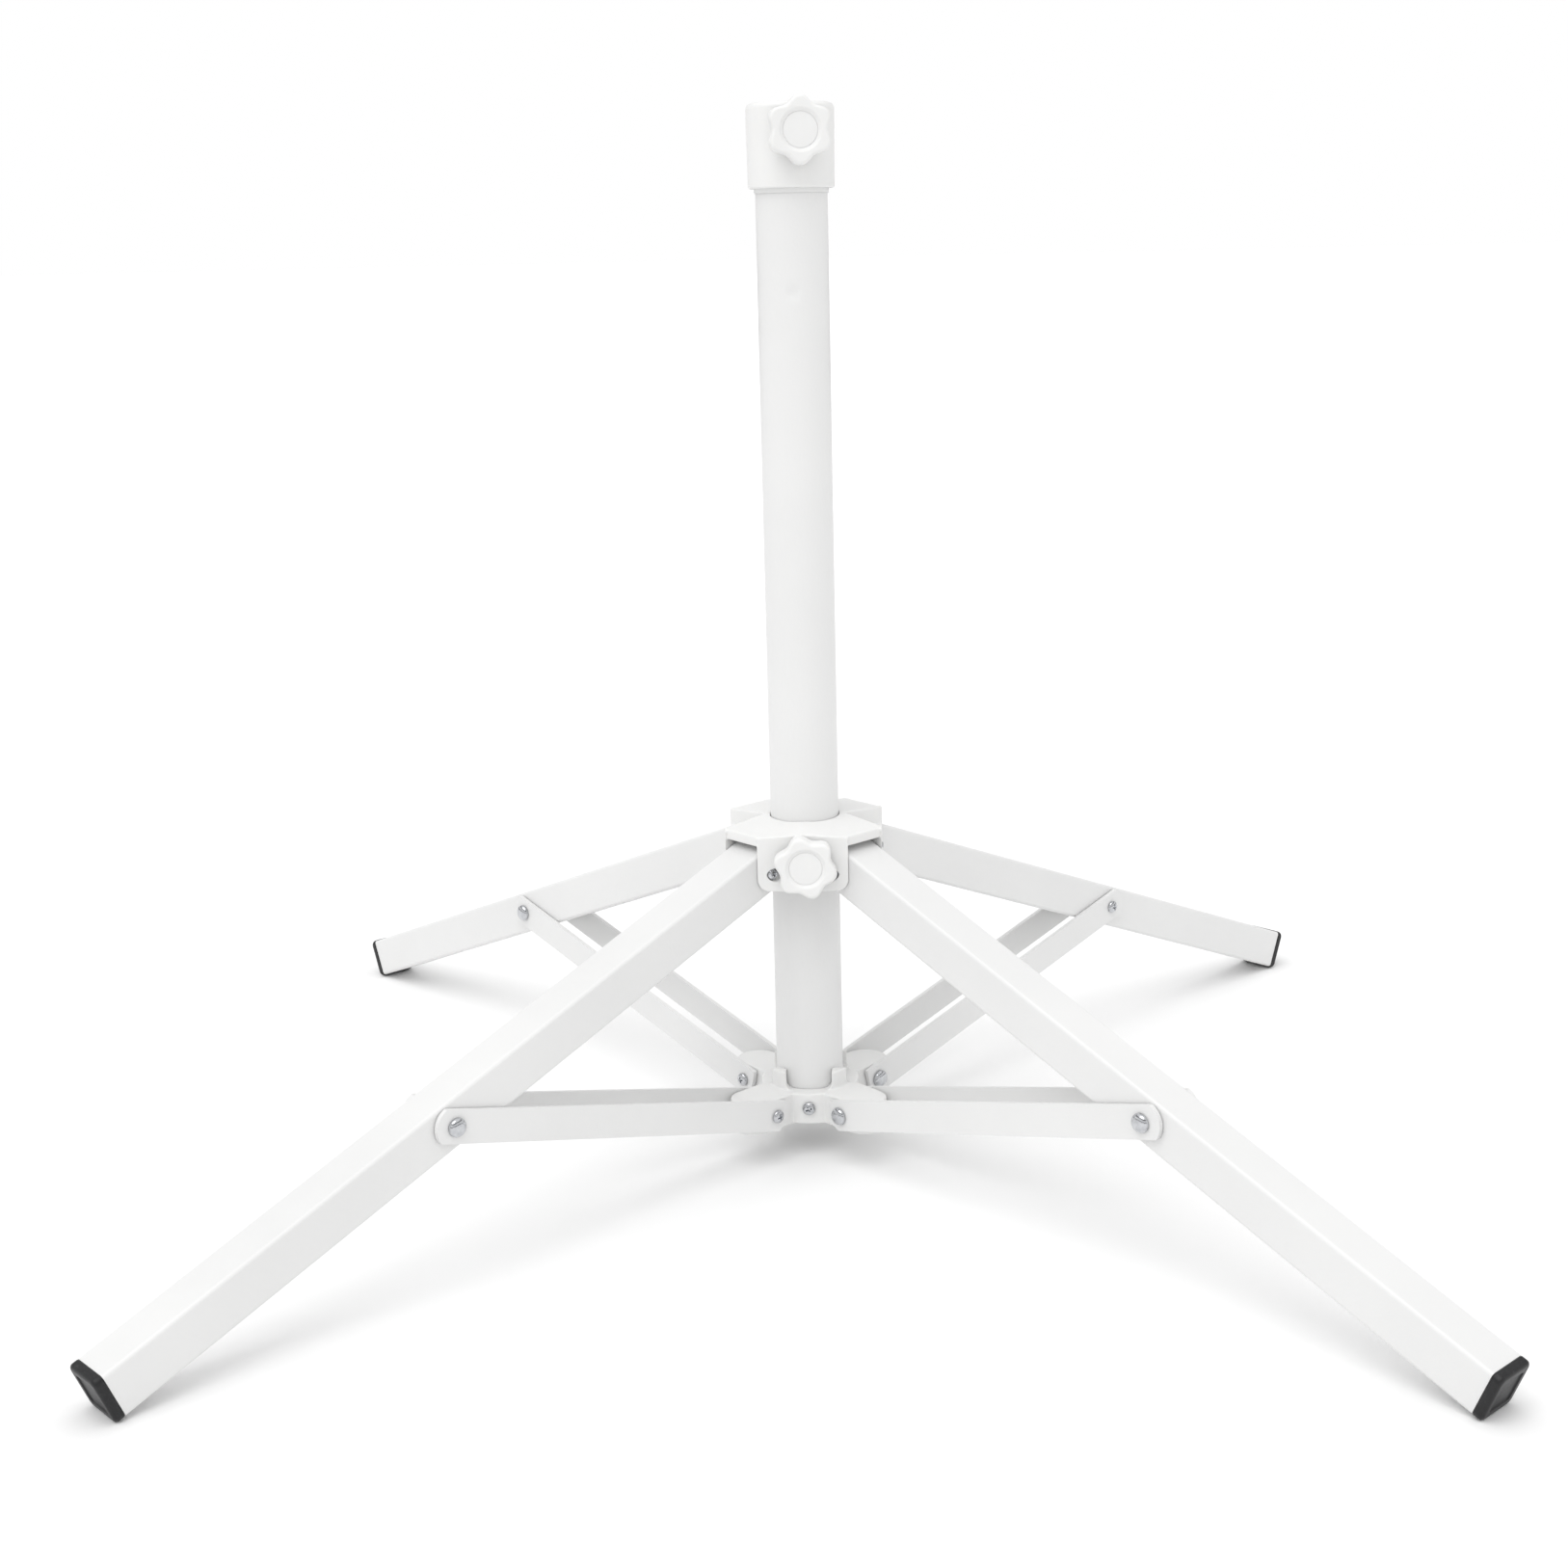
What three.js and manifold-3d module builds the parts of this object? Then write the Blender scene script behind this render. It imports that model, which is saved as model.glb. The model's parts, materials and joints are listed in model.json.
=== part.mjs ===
// Folding four-legged stand of a rotary clothesline.
//
// A round mast stands in a fixed lower hub. An upper hub slides on the mast and carries four square
// legs, and a pair of flat struts ties each leg to the lower hub, so the stand folds like an umbrella.
// A lobed knob clamps the upper hub to the mast, and another clamps the clothesline's upper mast in
// the collar on top.
//
// Millimetres, +Z up. The origin is on the ground below the mast's axis, the legs lie on the
// diagonals and the knobs face -Y.

import * as THREE from 'three';
import { mergeVertices } from 'three/addons/utils/BufferGeometryUtils.js';
import Module from 'manifold-3d';

const wasm = await Module();
wasm.setup();

// Driving dimensions

const GAP = 0.3;                      // clearance between pieces that touch
const DEG = Math.PI / 180;

const MAST = { radius: 19, wall: 1.2 };
const LEG = { size: 25, wall: 1.2, cornerRadius: 2, beyondPivot: 9.5, length: 428.5 };
const FOOT = { size: 26, thickness: 5, chamfer: 1.2, cornerRadius: 3.5, plugLength: 15, plugWall: 2 };
const STRUT = { width: 17.5, thickness: 2.5, inset: 13.2, innerEnd: 7.5, outerEnd: 11.2, clip: 3.8 };

const PIVOT_RADIUS = 40.5;            // mast axis to the leg pivots and to the strut pivots
const LEG_ANGLE = 68.28 * DEG;        // leg against the mast, opened
const STRUT_PIVOT = 228.4;            // along the leg, from its pivot to the strut's
const HUB_SPACING = 141.8;            // leg pivots above strut pivots, opened

const UPPER_HUB = {
  below: 9.4, crown: 25.3, pitch: 0.09, plate: 2, faceReach: 43.3, cornerReach: 47,
  faceWidth: 50, footRadius: 7, sleeveRadius: 22.5, slotWidth: 26, wall: 3, bossRadius: 8,
  lip: 2.5, lipBottom: 15.6, shelf: 12,
};
const LOWER_HUB = {
  below: 9.5, above: 8.3, radius: 28, lip: 2, earWidth: 25, earReach: 57,
  tabRadius: 25, tabTop: 18.8, notchWidth: 25.8,
};
const COLLAR = { height: 45.3, radius: 23.15, footRadius: 22.75, lip: 6.5, mouthRadius: 17, top: 404.9 };
const KNOB = {
  radius: 17.5, lobeDepth: 3, lobes: 6, thickness: 10.2, edge: 1.8, standOff: 2.2,
  stemRadius: 6.5, capRadius: 9, capThickness: 2.2, headRadius: 5.6, headThickness: 4,
};
const HUB_KNOB = { height: 6.6, azimuth: -88 * DEG, lobePhase: 15 * DEG };
const TOP_KNOB = { height: 390, azimuth: -79 * DEG, lobePhase: 0 };
const INSERT = { radius: 4.9, bore: 3.3, length: 3.2 };
const CLAMP_SCREW_RADIUS = 3;

const SHANK_RADIUS = 2.4;             // pivot bolts
const HOLE_RADIUS = 2.75;
const PAN_HEAD = { radius: 3.75, height: 2.6 };
const DOME_NUT = { radius: 5, height: 3.4, rim: 0.8 };
const HUB_BOLT_HEAD = { radius: 3.3, height: 2.4, pocket: 3.7 };
const ROUND = 32;                     // facets of a large round
const SMALL_ROUND = 12;               // facets of a hole, a shank or a head

const LEGS = [
  { name: 'front_left', azimuth: 225 * DEG, nutSide: 1 },
  { name: 'front_right', azimuth: 315 * DEG, nutSide: -1 },
  { name: 'back_right', azimuth: 45 * DEG, nutSide: 1 },
  { name: 'back_left', azimuth: 135 * DEG, nutSide: 1 },
];

// Heights and lengths that follow from them

const FOOT_REACH = LEG.length + GAP + FOOT.thickness - FOOT.chamfer;
const LEG_PIVOT_Z = FOOT_REACH * Math.cos(LEG_ANGLE) + FOOT.size / 2 * Math.sin(LEG_ANGLE);
const STRUT_PIVOT_Z = LEG_PIVOT_Z - HUB_SPACING;
const STRUT_RISE = HUB_SPACING - STRUT_PIVOT * Math.cos(LEG_ANGLE);
const STRUT_RUN = STRUT_PIVOT * Math.sin(LEG_ANGLE);
const STRUT_LENGTH = Math.hypot(STRUT_RUN, STRUT_RISE);
const STRUT_TILT = Math.atan2(STRUT_RISE, STRUT_RUN);
const MAST_BOTTOM_Z = STRUT_PIVOT_Z - LOWER_HUB.below + LOWER_HUB.lip + GAP;
const COLLAR_TOP_Z = LEG_PIVOT_Z + COLLAR.top;
const MAST_TOP_Z = COLLAR_TOP_Z - COLLAR.lip - GAP;
const STRUT_FACE = STRUT.inset + STRUT.thickness;     // outer face of a strut bar, from the leg's middle

// Materials

function material(color, roughness, metalness) {
  return new THREE.MeshStandardMaterial({ color, roughness, metalness });
}
const WHITE_COAT = material(0xf1f1f0, 0.4, 0);
const WHITE_PLASTIC = material(0xf4f4f2, 0.5, 0);
const BLACK_PLASTIC = material(0x26262a, 0.6, 0);
const ZINC = material(0xbfc1c4, 0.3, 1);
const BRASS = material(0xc8a55a, 0.35, 1);

// Solids: three.js geometry, joined and cut by Manifold

function signedVolume(positions, triangles) {
  const [a, b, c] = [new THREE.Vector3(), new THREE.Vector3(), new THREE.Vector3()];
  let volume = 0;
  for (let i = 0; i < triangles.length; i += 3) {
    a.fromArray(positions, 3 * triangles[i]);
    b.fromArray(positions, 3 * triangles[i + 1]);
    c.fromArray(positions, 3 * triangles[i + 2]);
    volume += a.dot(b.cross(c)) / 6;
  }
  return volume;
}

function solid(geometry) {
  const bare = geometry.clone();
  bare.deleteAttribute('normal');
  bare.deleteAttribute('uv');
  const merged = mergeVertices(bare, 1e-4);
  const vertProperties = Float32Array.from(merged.attributes.position.array);
  const corners = Array.from(merged.index.array);
  const triangles = [];
  for (let i = 0; i < corners.length; i += 3) {
    const [a, b, c] = corners.slice(i, i + 3);
    if (a !== b && b !== c && c !== a) triangles.push(a, b, c);
  }
  if (signedVolume(vertProperties, triangles) < 0) triangles.reverse();
  return new wasm.Manifold(new wasm.Mesh({ numProp: 3, vertProperties, triVerts: Uint32Array.from(triangles) }));
}

function joined(first, ...others) {
  return others.reduce((whole, piece) => whole.add(piece), first);
}

function cut(whole, ...tools) {
  return tools.reduce((rest, tool) => rest.subtract(tool), whole);
}

function geometryOf(body) {
  const { vertProperties, triVerts } = body.getMesh();
  const geometry = new THREE.BufferGeometry();
  geometry.setAttribute('position', new THREE.BufferAttribute(Float32Array.from(vertProperties), 3));
  geometry.setIndex(new THREE.BufferAttribute(Uint32Array.from(triVerts), 1));
  return geometry;
}

function moved(body, matrix) {
  return solid(geometryOf(body).applyMatrix4(matrix));
}

function meshOf(name, body, paint) {
  const geometry = geometryOf(body);
  geometry.computeVertexNormals();
  const mesh = new THREE.Mesh(geometry, paint);
  mesh.name = name;
  return mesh;
}

// Basic shapes. A round stands on Z from one height to another; a turn gives it another axis.

const UPRIGHT = new THREE.Matrix4();
const ALONG_X = new THREE.Matrix4().makeRotationY(Math.PI / 2);
const ALONG_Y = new THREE.Matrix4().makeRotationX(-Math.PI / 2);

function placed(geometry, turn = UPRIGHT, x = 0, y = 0, z = 0) {
  return geometry.applyMatrix4(turn).translate(x, y, z);
}

function round(radius, from, to, sides = SMALL_ROUND) {
  const geometry = new THREE.CylinderGeometry(radius, radius, to - from, sides);
  return geometry.rotateX(Math.PI / 2).translate(0, 0, (from + to) / 2);
}

function lathe(profile, sides = ROUND) {
  const points = profile.map(([radius, height]) => new THREE.Vector2(radius, height));
  return new THREE.LatheGeometry(points, sides).rotateX(Math.PI / 2);
}

function ring(outer, inner, from, to, sides = ROUND) {
  return lathe([[inner, from], [outer, from], [outer, to], [inner, to], [inner, from]], sides);
}

function block(sizeX, sizeY, sizeZ, x, y, z) {
  return new THREE.BoxGeometry(sizeX, sizeY, sizeZ).translate(x, y, z);
}

function prism(shape, depth, options = {}) {
  return new THREE.ExtrudeGeometry(shape, { depth, bevelEnabled: false, curveSegments: 3, ...options });
}

function polygon(points) {
  return new THREE.Shape(points.map(([x, y]) => new THREE.Vector2(x, y)));
}

function roundedSquare(size, radius) {
  const half = size / 2;
  const shape = new THREE.Shape();
  shape.moveTo(half, half - radius);
  shape.absarc(half - radius, half - radius, radius, 0, Math.PI / 2);
  shape.absarc(radius - half, half - radius, radius, Math.PI / 2, Math.PI);
  shape.absarc(radius - half, radius - half, radius, Math.PI, 1.5 * Math.PI);
  shape.absarc(half - radius, radius - half, radius, 1.5 * Math.PI, 2 * Math.PI);
  return shape;
}

// A frame whose X axis points away from the mast at an azimuth, and one that is also tilted at a pivot.

function radialGroup(azimuth) {
  const group = new THREE.Group();
  group.rotation.z = azimuth;
  return group;
}

function pivotGroup(height, tilt) {
  const group = new THREE.Group();
  group.position.set(PIVOT_RADIUS, 0, height);
  group.rotation.y = tilt;
  return group;
}

function turned(azimuth) {
  return new THREE.Matrix4().makeRotationZ(azimuth);
}

// Screws and nuts, with the head's or the dome's seat at z = 0 and the head above it

function panHeadProfile({ radius, height }) {
  return [[radius, 0], [radius, height * 0.4], [radius * 0.86, height * 0.76], [radius * 0.5, height]];
}

function crossRecess({ radius, height }) {
  const slot = { width: radius * 0.26, length: radius * 1.15, depth: height * 0.5 };
  const middle = height - slot.depth / 2 + GAP;
  return [
    solid(block(slot.length, slot.width, slot.depth + 2 * GAP, 0, 0, middle)),
    solid(block(slot.width, slot.length, slot.depth + 2 * GAP, 0, 0, middle)),
  ];
}

function panScrew(shankLength, turn) {
  const profile = [[0, -shankLength], [SHANK_RADIUS, -shankLength], [SHANK_RADIUS, 0]];
  profile.push(...panHeadProfile(PAN_HEAD), [0, PAN_HEAD.height]);
  const screw = cut(solid(lathe(profile, SMALL_ROUND)), ...crossRecess(PAN_HEAD));
  return moved(screw, turn);
}

// A dome on what it has below its seat: a bore for a bolt's end, or a short stud
function dome(middle, turn) {
  const { radius, height, rim } = DOME_NUT;
  const arc = [0, 30, 60].map((angle) => [
    radius * Math.cos(angle * DEG), rim + (height - rim) * Math.sin(angle * DEG),
  ]);
  const profile = [[0, middle.end], [middle.radius, middle.end], [middle.radius, 0], [radius, 0]];
  return moved(solid(lathe([...profile, ...arc, [0, height]], 16)), turn);
}

function domeNut(turn) {
  return dome({ radius: HOLE_RADIUS, end: 2 }, turn);
}

function domeStud(length, turn) {
  return dome({ radius: SHANK_RADIUS, end: -length }, turn);
}

// From a head's own axis to one side of a leg: side 1 is +Y in a radial frame, side -1 is -Y.
function sideways(side, distance, x = 0) {
  return new THREE.Matrix4().makeRotationX(-side * Math.PI / 2).setPosition(x, side * distance, 0);
}

// From a knob's own axis to a radial direction at a height
function outward(azimuth, height, reach = 0) {
  return turned(azimuth).multiply(new THREE.Matrix4().makeTranslation(reach, 0, height)).multiply(ALONG_X);
}

// Mast and collar

function mastTube() {
  const tube = solid(ring(MAST.radius, MAST.radius - MAST.wall, MAST_BOTTOM_Z, MAST_TOP_Z));
  const clampHole = placed(round(4.2, 12, 24), outward(TOP_KNOB.azimuth, LEG_PIVOT_Z + TOP_KNOB.height));
  const screwHole = placed(round(HOLE_RADIUS, 12, 24), outward(-Math.PI / 2, STRUT_PIVOT_Z));
  return cut(tube, solid(clampHole), solid(screwHole));
}

function topCollar() {
  const bottom = COLLAR_TOP_Z - COLLAR.height;
  const shoulder = COLLAR_TOP_Z - COLLAR.lip;
  const bore = MAST.radius + GAP;
  const edge = 3;
  const rim = [0, 30, 60, 90].map((angle) => [
    COLLAR.radius - edge * (1 - Math.cos(angle * DEG)),
    COLLAR_TOP_Z - edge * (1 - Math.sin(angle * DEG)),
  ]);
  const profile = [[bore, bottom], [COLLAR.footRadius - 1, bottom], [COLLAR.footRadius, bottom + 1], ...rim];
  profile.push([COLLAR.mouthRadius, COLLAR_TOP_Z], [COLLAR.mouthRadius, shoulder], [bore, shoulder], [bore, bottom]);
  const height = LEG_PIVOT_Z + TOP_KNOB.height;
  const pocket = placed(round(INSERT.radius + 2 * GAP, 18, 26), outward(TOP_KNOB.azimuth, height));
  return cut(solid(lathe(profile)), solid(pocket));
}

// Threaded insert that a clamp screw turns in, its outer end at a reach from the mast's axis
function insert(azimuth, height, reach) {
  const body = ring(INSERT.radius, INSERT.bore, -INSERT.length, 0, SMALL_ROUND);
  return solid(placed(body, outward(azimuth, height, reach)));
}

// Lobed clamp knob. Its own Z axis points away from the mast, with z = 0 on the surface behind it.

function lobedShape() {
  const steps = KNOB.lobes * 8;
  const points = Array.from({ length: steps }, (_, i) => {
    const angle = i / steps * 2 * Math.PI;
    const radius = KNOB.radius - KNOB.lobeDepth / 2 * (1 - Math.cos(KNOB.lobes * angle));
    return [radius * Math.cos(angle), radius * Math.sin(angle)];
  });
  return polygon(points);
}

function knobBody(turn) {
  const face = KNOB.standOff + KNOB.thickness;
  const star = prism(lobedShape(), KNOB.thickness - 2 * KNOB.edge, {
    bevelEnabled: true, bevelThickness: KNOB.edge, bevelSize: KNOB.edge, bevelOffset: -KNOB.edge, bevelSegments: 2,
  }).translate(0, 0, KNOB.standOff + KNOB.edge);
  const stem = round(KNOB.stemRadius, GAP, face - KNOB.capThickness - GAP, 20);
  const recess = round(KNOB.capRadius + GAP, face - KNOB.capThickness, face + 1, 24);
  const headRoom = round(KNOB.headRadius + GAP, face - KNOB.capThickness - KNOB.headThickness - GAP, face, 20);
  const shankHole = round(CLAMP_SCREW_RADIUS + GAP, 0, face);
  const knob = cut(joined(solid(star), solid(stem)), solid(recess), solid(headRoom), solid(shankHole));
  return moved(knob, turn);
}

function knobCap(turn) {
  const top = KNOB.standOff + KNOB.thickness;
  const bottom = top - KNOB.capThickness + GAP;
  const crown = top - 0.5;
  const profile = [[0, bottom], [KNOB.capRadius, bottom], [KNOB.capRadius, crown - 0.5]];
  profile.push([KNOB.capRadius - 0.5, crown], [0, crown]);
  return moved(solid(lathe(profile, 24)), turn);
}

function clampScrew(turn, tip) {
  const headTop = KNOB.standOff + KNOB.thickness - KNOB.capThickness;
  const headBottom = headTop - KNOB.headThickness;
  const head = round(KNOB.headRadius, headBottom, headTop - GAP, 6);
  const shank = round(CLAMP_SCREW_RADIUS, tip, headBottom + 1);
  return moved(joined(solid(head), solid(shank)), turn);
}

// Upper hub: a sleeve with four hollow blocks between the legs. A roof-shaped top plate covers the leg
// slots, with a lip over each, and the front block. The other three blocks are lower, with a flat shelf.

// Everything under a shallow four-sided roof whose ridges run along X and Y
function underRoof(crownZ) {
  const reach = 90;
  const eaves = crownZ - UPPER_HUB.pitch * reach / Math.SQRT2;
  return solid(lathe([[0, crownZ - 80], [reach, crownZ - 80], [reach, eaves], [0, crownZ]], 4));
}

function blockFront(bottom, top) {
  const half = UPPER_HUB.faceWidth / 2;
  const radius = UPPER_HUB.footRadius;
  const shape = new THREE.Shape();
  shape.moveTo(half, top);
  shape.lineTo(-half, top);
  shape.lineTo(-half, bottom + radius);
  shape.absarc(radius - half, bottom + radius, radius, Math.PI, 1.5 * Math.PI);
  shape.absarc(half - radius, bottom + radius, radius, 1.5 * Math.PI, 2 * Math.PI);
  return shape;
}

function upperHub() {
  const bottom = LEG_PIVOT_Z - UPPER_HUB.below;
  const crown = LEG_PIVOT_Z + UPPER_HUB.crown;
  const quarterTurns = [0, 1, 2, 3].map((i) => turned(i * Math.PI / 2));
  const slotReach = UPPER_HUB.slotWidth / Math.SQRT2;
  const cavityReach = UPPER_HUB.faceReach - UPPER_HUB.wall;
  const cavityEdge = slotReach + UPPER_HUB.wall * Math.SQRT2;
  const cavityStart = UPPER_HUB.sleeveRadius + UPPER_HUB.wall;

  // one block, facing +X, and the hollow under it
  const face = prism(blockFront(bottom, crown), UPPER_HUB.faceReach, { curveSegments: 5 });
  const toX = new THREE.Matrix4().makeBasis(
    new THREE.Vector3(0, 1, 0), new THREE.Vector3(0, 0, 1), new THREE.Vector3(1, 0, 0));
  face.applyMatrix4(toX);
  const hollow = prism(polygon([
    [cavityStart, cavityEdge - cavityStart], [cavityReach, cavityEdge - cavityReach],
    [cavityReach, cavityReach - cavityEdge], [cavityStart, cavityStart - cavityEdge],
  ]), crown - bottom + 2).translate(0, 0, bottom - 1);
  const slot = block(60, UPPER_HUB.slotWidth, 80, UPPER_HUB.sleeveRadius + GAP + 30, 0, LEG_PIVOT_Z);
  const shelf = LEG_PIVOT_Z + UPPER_HUB.shelf;
  const front = 3;

  const sleeve = solid(round(UPPER_HUB.sleeveRadius, bottom, crown, ROUND));
  const blocks = joined(sleeve, ...quarterTurns.map((turn) => solid(placed(face.clone(), turn))));
  const slots = LEGS.map(({ azimuth }) => solid(placed(slot.clone(), turned(azimuth))));
  const belowShelf = solid(block(200, 200, 100, 0, 0, shelf - UPPER_HUB.wall - 50));
  const hollows = quarterTurns.map((turn, i) => {
    const space = solid(placed(hollow.clone(), turn));
    return i === front ? space : space.intersect(belowShelf);
  });
  const ceiling = underRoof(crown - UPPER_HUB.plate);
  const carrier = cut(blocks, joined(...slots, ...hollows).intersect(ceiling));

  const side = UPPER_HUB.faceReach;
  const corner = UPPER_HUB.cornerReach * Math.SQRT2 - side;
  const outline = polygon([
    [side, corner], [corner, side], [-corner, side], [-side, corner],
    [-side, -corner], [-corner, -side], [corner, -side], [side, -corner],
  ]);
  const lipMiddle = UPPER_HUB.cornerReach - UPPER_HUB.lip / 2;
  const lip = block(UPPER_HUB.lip, 40, 40, lipMiddle, 0, LEG_PIVOT_Z + UPPER_HUB.lipBottom + 20);
  const lips = LEGS.map(({ azimuth }) => solid(placed(lip.clone(), turned(azimuth))));
  const cover = solid(prism(outline, 40).translate(0, 0, LEG_PIVOT_Z));
  const plate = joined(cut(cover, ceiling), cover.intersect(joined(...lips)));

  // the space above a low block, between the walls of two leg slots
  const apex = (UPPER_HUB.slotWidth / 2 + UPPER_HUB.wall) * Math.SQRT2;
  const above = prism(polygon([[apex, 0], [60, apex - 60], [60, 60 - apex]]), 40).translate(0, 0, shelf);
  const spaces = [0, 1, 2].map((i) => solid(placed(above.clone(), quarterTurns[i])));

  const knobZ = LEG_PIVOT_Z + HUB_KNOB.height;
  const boss = placed(round(UPPER_HUB.bossRadius, 20, side - 1, 16), outward(HUB_KNOB.azimuth, knobZ));
  const screwHole = placed(round(INSERT.bore + GAP, 15, 45), outward(HUB_KNOB.azimuth, knobZ));
  const insertPocket = round(INSERT.radius + 2 * GAP, side - INSERT.length - 2 * GAP, side + 2);
  const pocket = placed(insertPocket, outward(HUB_KNOB.azimuth, knobZ));
  const bore = round(MAST.radius + 0.4, bottom - 1, crown + 1, ROUND);

  const body = joined(carrier, plate, solid(boss)).intersect(underRoof(crown));
  return cut(body, solid(bore), solid(screwHole), solid(pocket), ...spaces, ...hubPivotHoles());
}

// A hole across each leg slot, opening out into the block beside it where the head and the nut sit
function hubPivotHoles() {
  const seat = UPPER_HUB.slotWidth / 2 + UPPER_HUB.wall;
  return LEGS.flatMap(({ azimuth }) => {
    const place = turned(azimuth).multiply(
      new THREE.Matrix4().makeTranslation(PIVOT_RADIUS, 0, LEG_PIVOT_Z)).multiply(ALONG_Y);
    return [
      round(HOLE_RADIUS, -25, 25),
      round(HUB_BOLT_HEAD.pocket, seat, 30),
      round(HUB_BOLT_HEAD.pocket, -30, -seat),
    ].map((hole) => solid(placed(hole, place)));
  });
}

function hubPivotBolt() {
  const seat = UPPER_HUB.slotWidth / 2 + UPPER_HUB.wall + GAP;
  const profile = [[0, -seat - HUB_BOLT_HEAD.height + GAP], [SHANK_RADIUS, -seat - HUB_BOLT_HEAD.height + GAP]];
  profile.push([SHANK_RADIUS, seat], ...panHeadProfile(HUB_BOLT_HEAD).map(([r, z]) => [r, z + seat]));
  profile.push([0, seat + HUB_BOLT_HEAD.height]);
  return moved(solid(lathe(profile, SMALL_ROUND)), ALONG_Y);
}

function hubPivotNut() {
  const seat = UPPER_HUB.slotWidth / 2 + UPPER_HUB.wall + GAP;
  const body = round(HUB_BOLT_HEAD.radius, -seat - HUB_BOLT_HEAD.height, -seat, 6);
  const bore = round(SHANK_RADIUS + GAP, -seat - HUB_BOLT_HEAD.height - 1, -seat + 1);
  return moved(cut(solid(body), solid(bore)), ALONG_Y);
}

// Lower hub: a ring with an ear under each leg and four tabs that hug the mast

function earShape() {
  const half = LOWER_HUB.earWidth / 2;
  const shape = new THREE.Shape();
  shape.moveTo(0, -half);
  shape.absarc(LOWER_HUB.earReach - half, 0, half, -Math.PI / 2, Math.PI / 2);
  shape.lineTo(0, half);
  return shape;
}

function lowerHub() {
  const bottom = STRUT_PIVOT_Z - LOWER_HUB.below;
  const top = STRUT_PIVOT_Z + LOWER_HUB.above;
  const tabTop = STRUT_PIVOT_Z + LOWER_HUB.tabTop;
  const ears = LEGS.map(({ azimuth }) => {
    const ear = prism(earShape(), top - bottom, { curveSegments: 10 }).translate(0, 0, bottom);
    return solid(placed(ear, turned(azimuth)));
  });
  const tabs = solid(round(LOWER_HUB.tabRadius, bottom, tabTop, ROUND));
  const notches = [0, 1].map((i) => {
    const notch = block(100, LOWER_HUB.notchWidth, tabTop - top + 2, 0, 0, (tabTop + top) / 2 + 1);
    return solid(placed(notch, turned(i * Math.PI / 2)));
  });
  const body = joined(solid(round(LOWER_HUB.radius, bottom, top, ROUND)), ...ears, cut(tabs, ...notches));
  const bore = round(MAST.radius + GAP, MAST_BOTTOM_Z - GAP, tabTop + 1, ROUND);
  const drain = round(MAST.radius - 3, bottom - 1, tabTop, ROUND);
  const screwHole = placed(round(HOLE_RADIUS, 15, 40), outward(-Math.PI / 2, STRUT_PIVOT_Z));
  const pinHoles = LEGS.map(({ azimuth }) => {
    const place = turned(azimuth).multiply(
      new THREE.Matrix4().makeTranslation(PIVOT_RADIUS, 0, STRUT_PIVOT_Z)).multiply(ALONG_Y);
    return solid(placed(round(HOLE_RADIUS, -20, 20), place));
  });
  return cut(body, solid(bore), solid(drain), solid(screwHole), ...pinHoles);
}

// The part of a strut's through bolt that stays in the ear
function earPin() {
  const half = LOWER_HUB.earWidth / 2 - 0.2;
  return solid(placed(round(SHANK_RADIUS, -half, half), ALONG_Y));
}

// Legs, feet and struts. In a leg's or a strut's frame X runs along it from its inner pivot.

function acrossHole(x, radius = HOLE_RADIUS) {
  return solid(placed(round(radius, -30, 30), ALONG_Y, x, 0, 0));
}

function legTube() {
  const shape = roundedSquare(LEG.size, LEG.cornerRadius);
  shape.holes.push(roundedSquare(LEG.size - 2 * LEG.wall, LEG.cornerRadius - LEG.wall));
  const tube = placed(prism(shape, LEG.length + LEG.beyondPivot), ALONG_X, -LEG.beyondPivot, 0, 0);
  return cut(solid(tube), acrossHole(0), acrossHole(STRUT_PIVOT));
}

function footCap() {
  const plugSize = LEG.size - 2 * LEG.wall - 2 * GAP;
  const flange = prism(roundedSquare(FOOT.size, FOOT.cornerRadius), FOOT.thickness - 2 * FOOT.chamfer, {
    bevelEnabled: true, bevelThickness: FOOT.chamfer, bevelSize: FOOT.chamfer, bevelOffset: -FOOT.chamfer,
    bevelSegments: 1,
  }).translate(0, 0, FOOT.chamfer);
  const plugShape = roundedSquare(plugSize, 1);
  plugShape.holes.push(roundedSquare(plugSize - 2 * FOOT.plugWall, 0.5));
  const plug = prism(plugShape, FOOT.plugLength + 1).translate(0, 0, -FOOT.plugLength);
  const cap = joined(solid(flange), solid(plug));
  return moved(cap, new THREE.Matrix4().makeTranslation(LEG.length + GAP, 0, 0).multiply(ALONG_X));
}

// Flat bar: clipped below at its inner end, rounded about the bolt at its outer end
function strutBar(side) {
  const half = STRUT.width / 2;
  const spread = Math.asin(half / STRUT.outerEnd);
  const shape = new THREE.Shape();
  shape.moveTo(-STRUT.innerEnd, half);
  shape.lineTo(-STRUT.innerEnd, STRUT.clip - half);
  shape.lineTo(STRUT.clip - STRUT.innerEnd, -half);
  shape.absarc(STRUT_LENGTH, 0, STRUT.outerEnd, -spread, spread);
  const bar = prism(shape, STRUT.thickness, { curveSegments: 6 });
  const upright = new THREE.Matrix4().makeRotationX(Math.PI / 2);
  const middle = side * (STRUT.inset + STRUT.thickness / 2) + STRUT.thickness / 2;
  return cut(solid(placed(bar, upright, 0, middle, 0)), acrossHole(0), acrossHole(STRUT_LENGTH));
}

// Assembly

const group = new THREE.Group();

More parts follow.
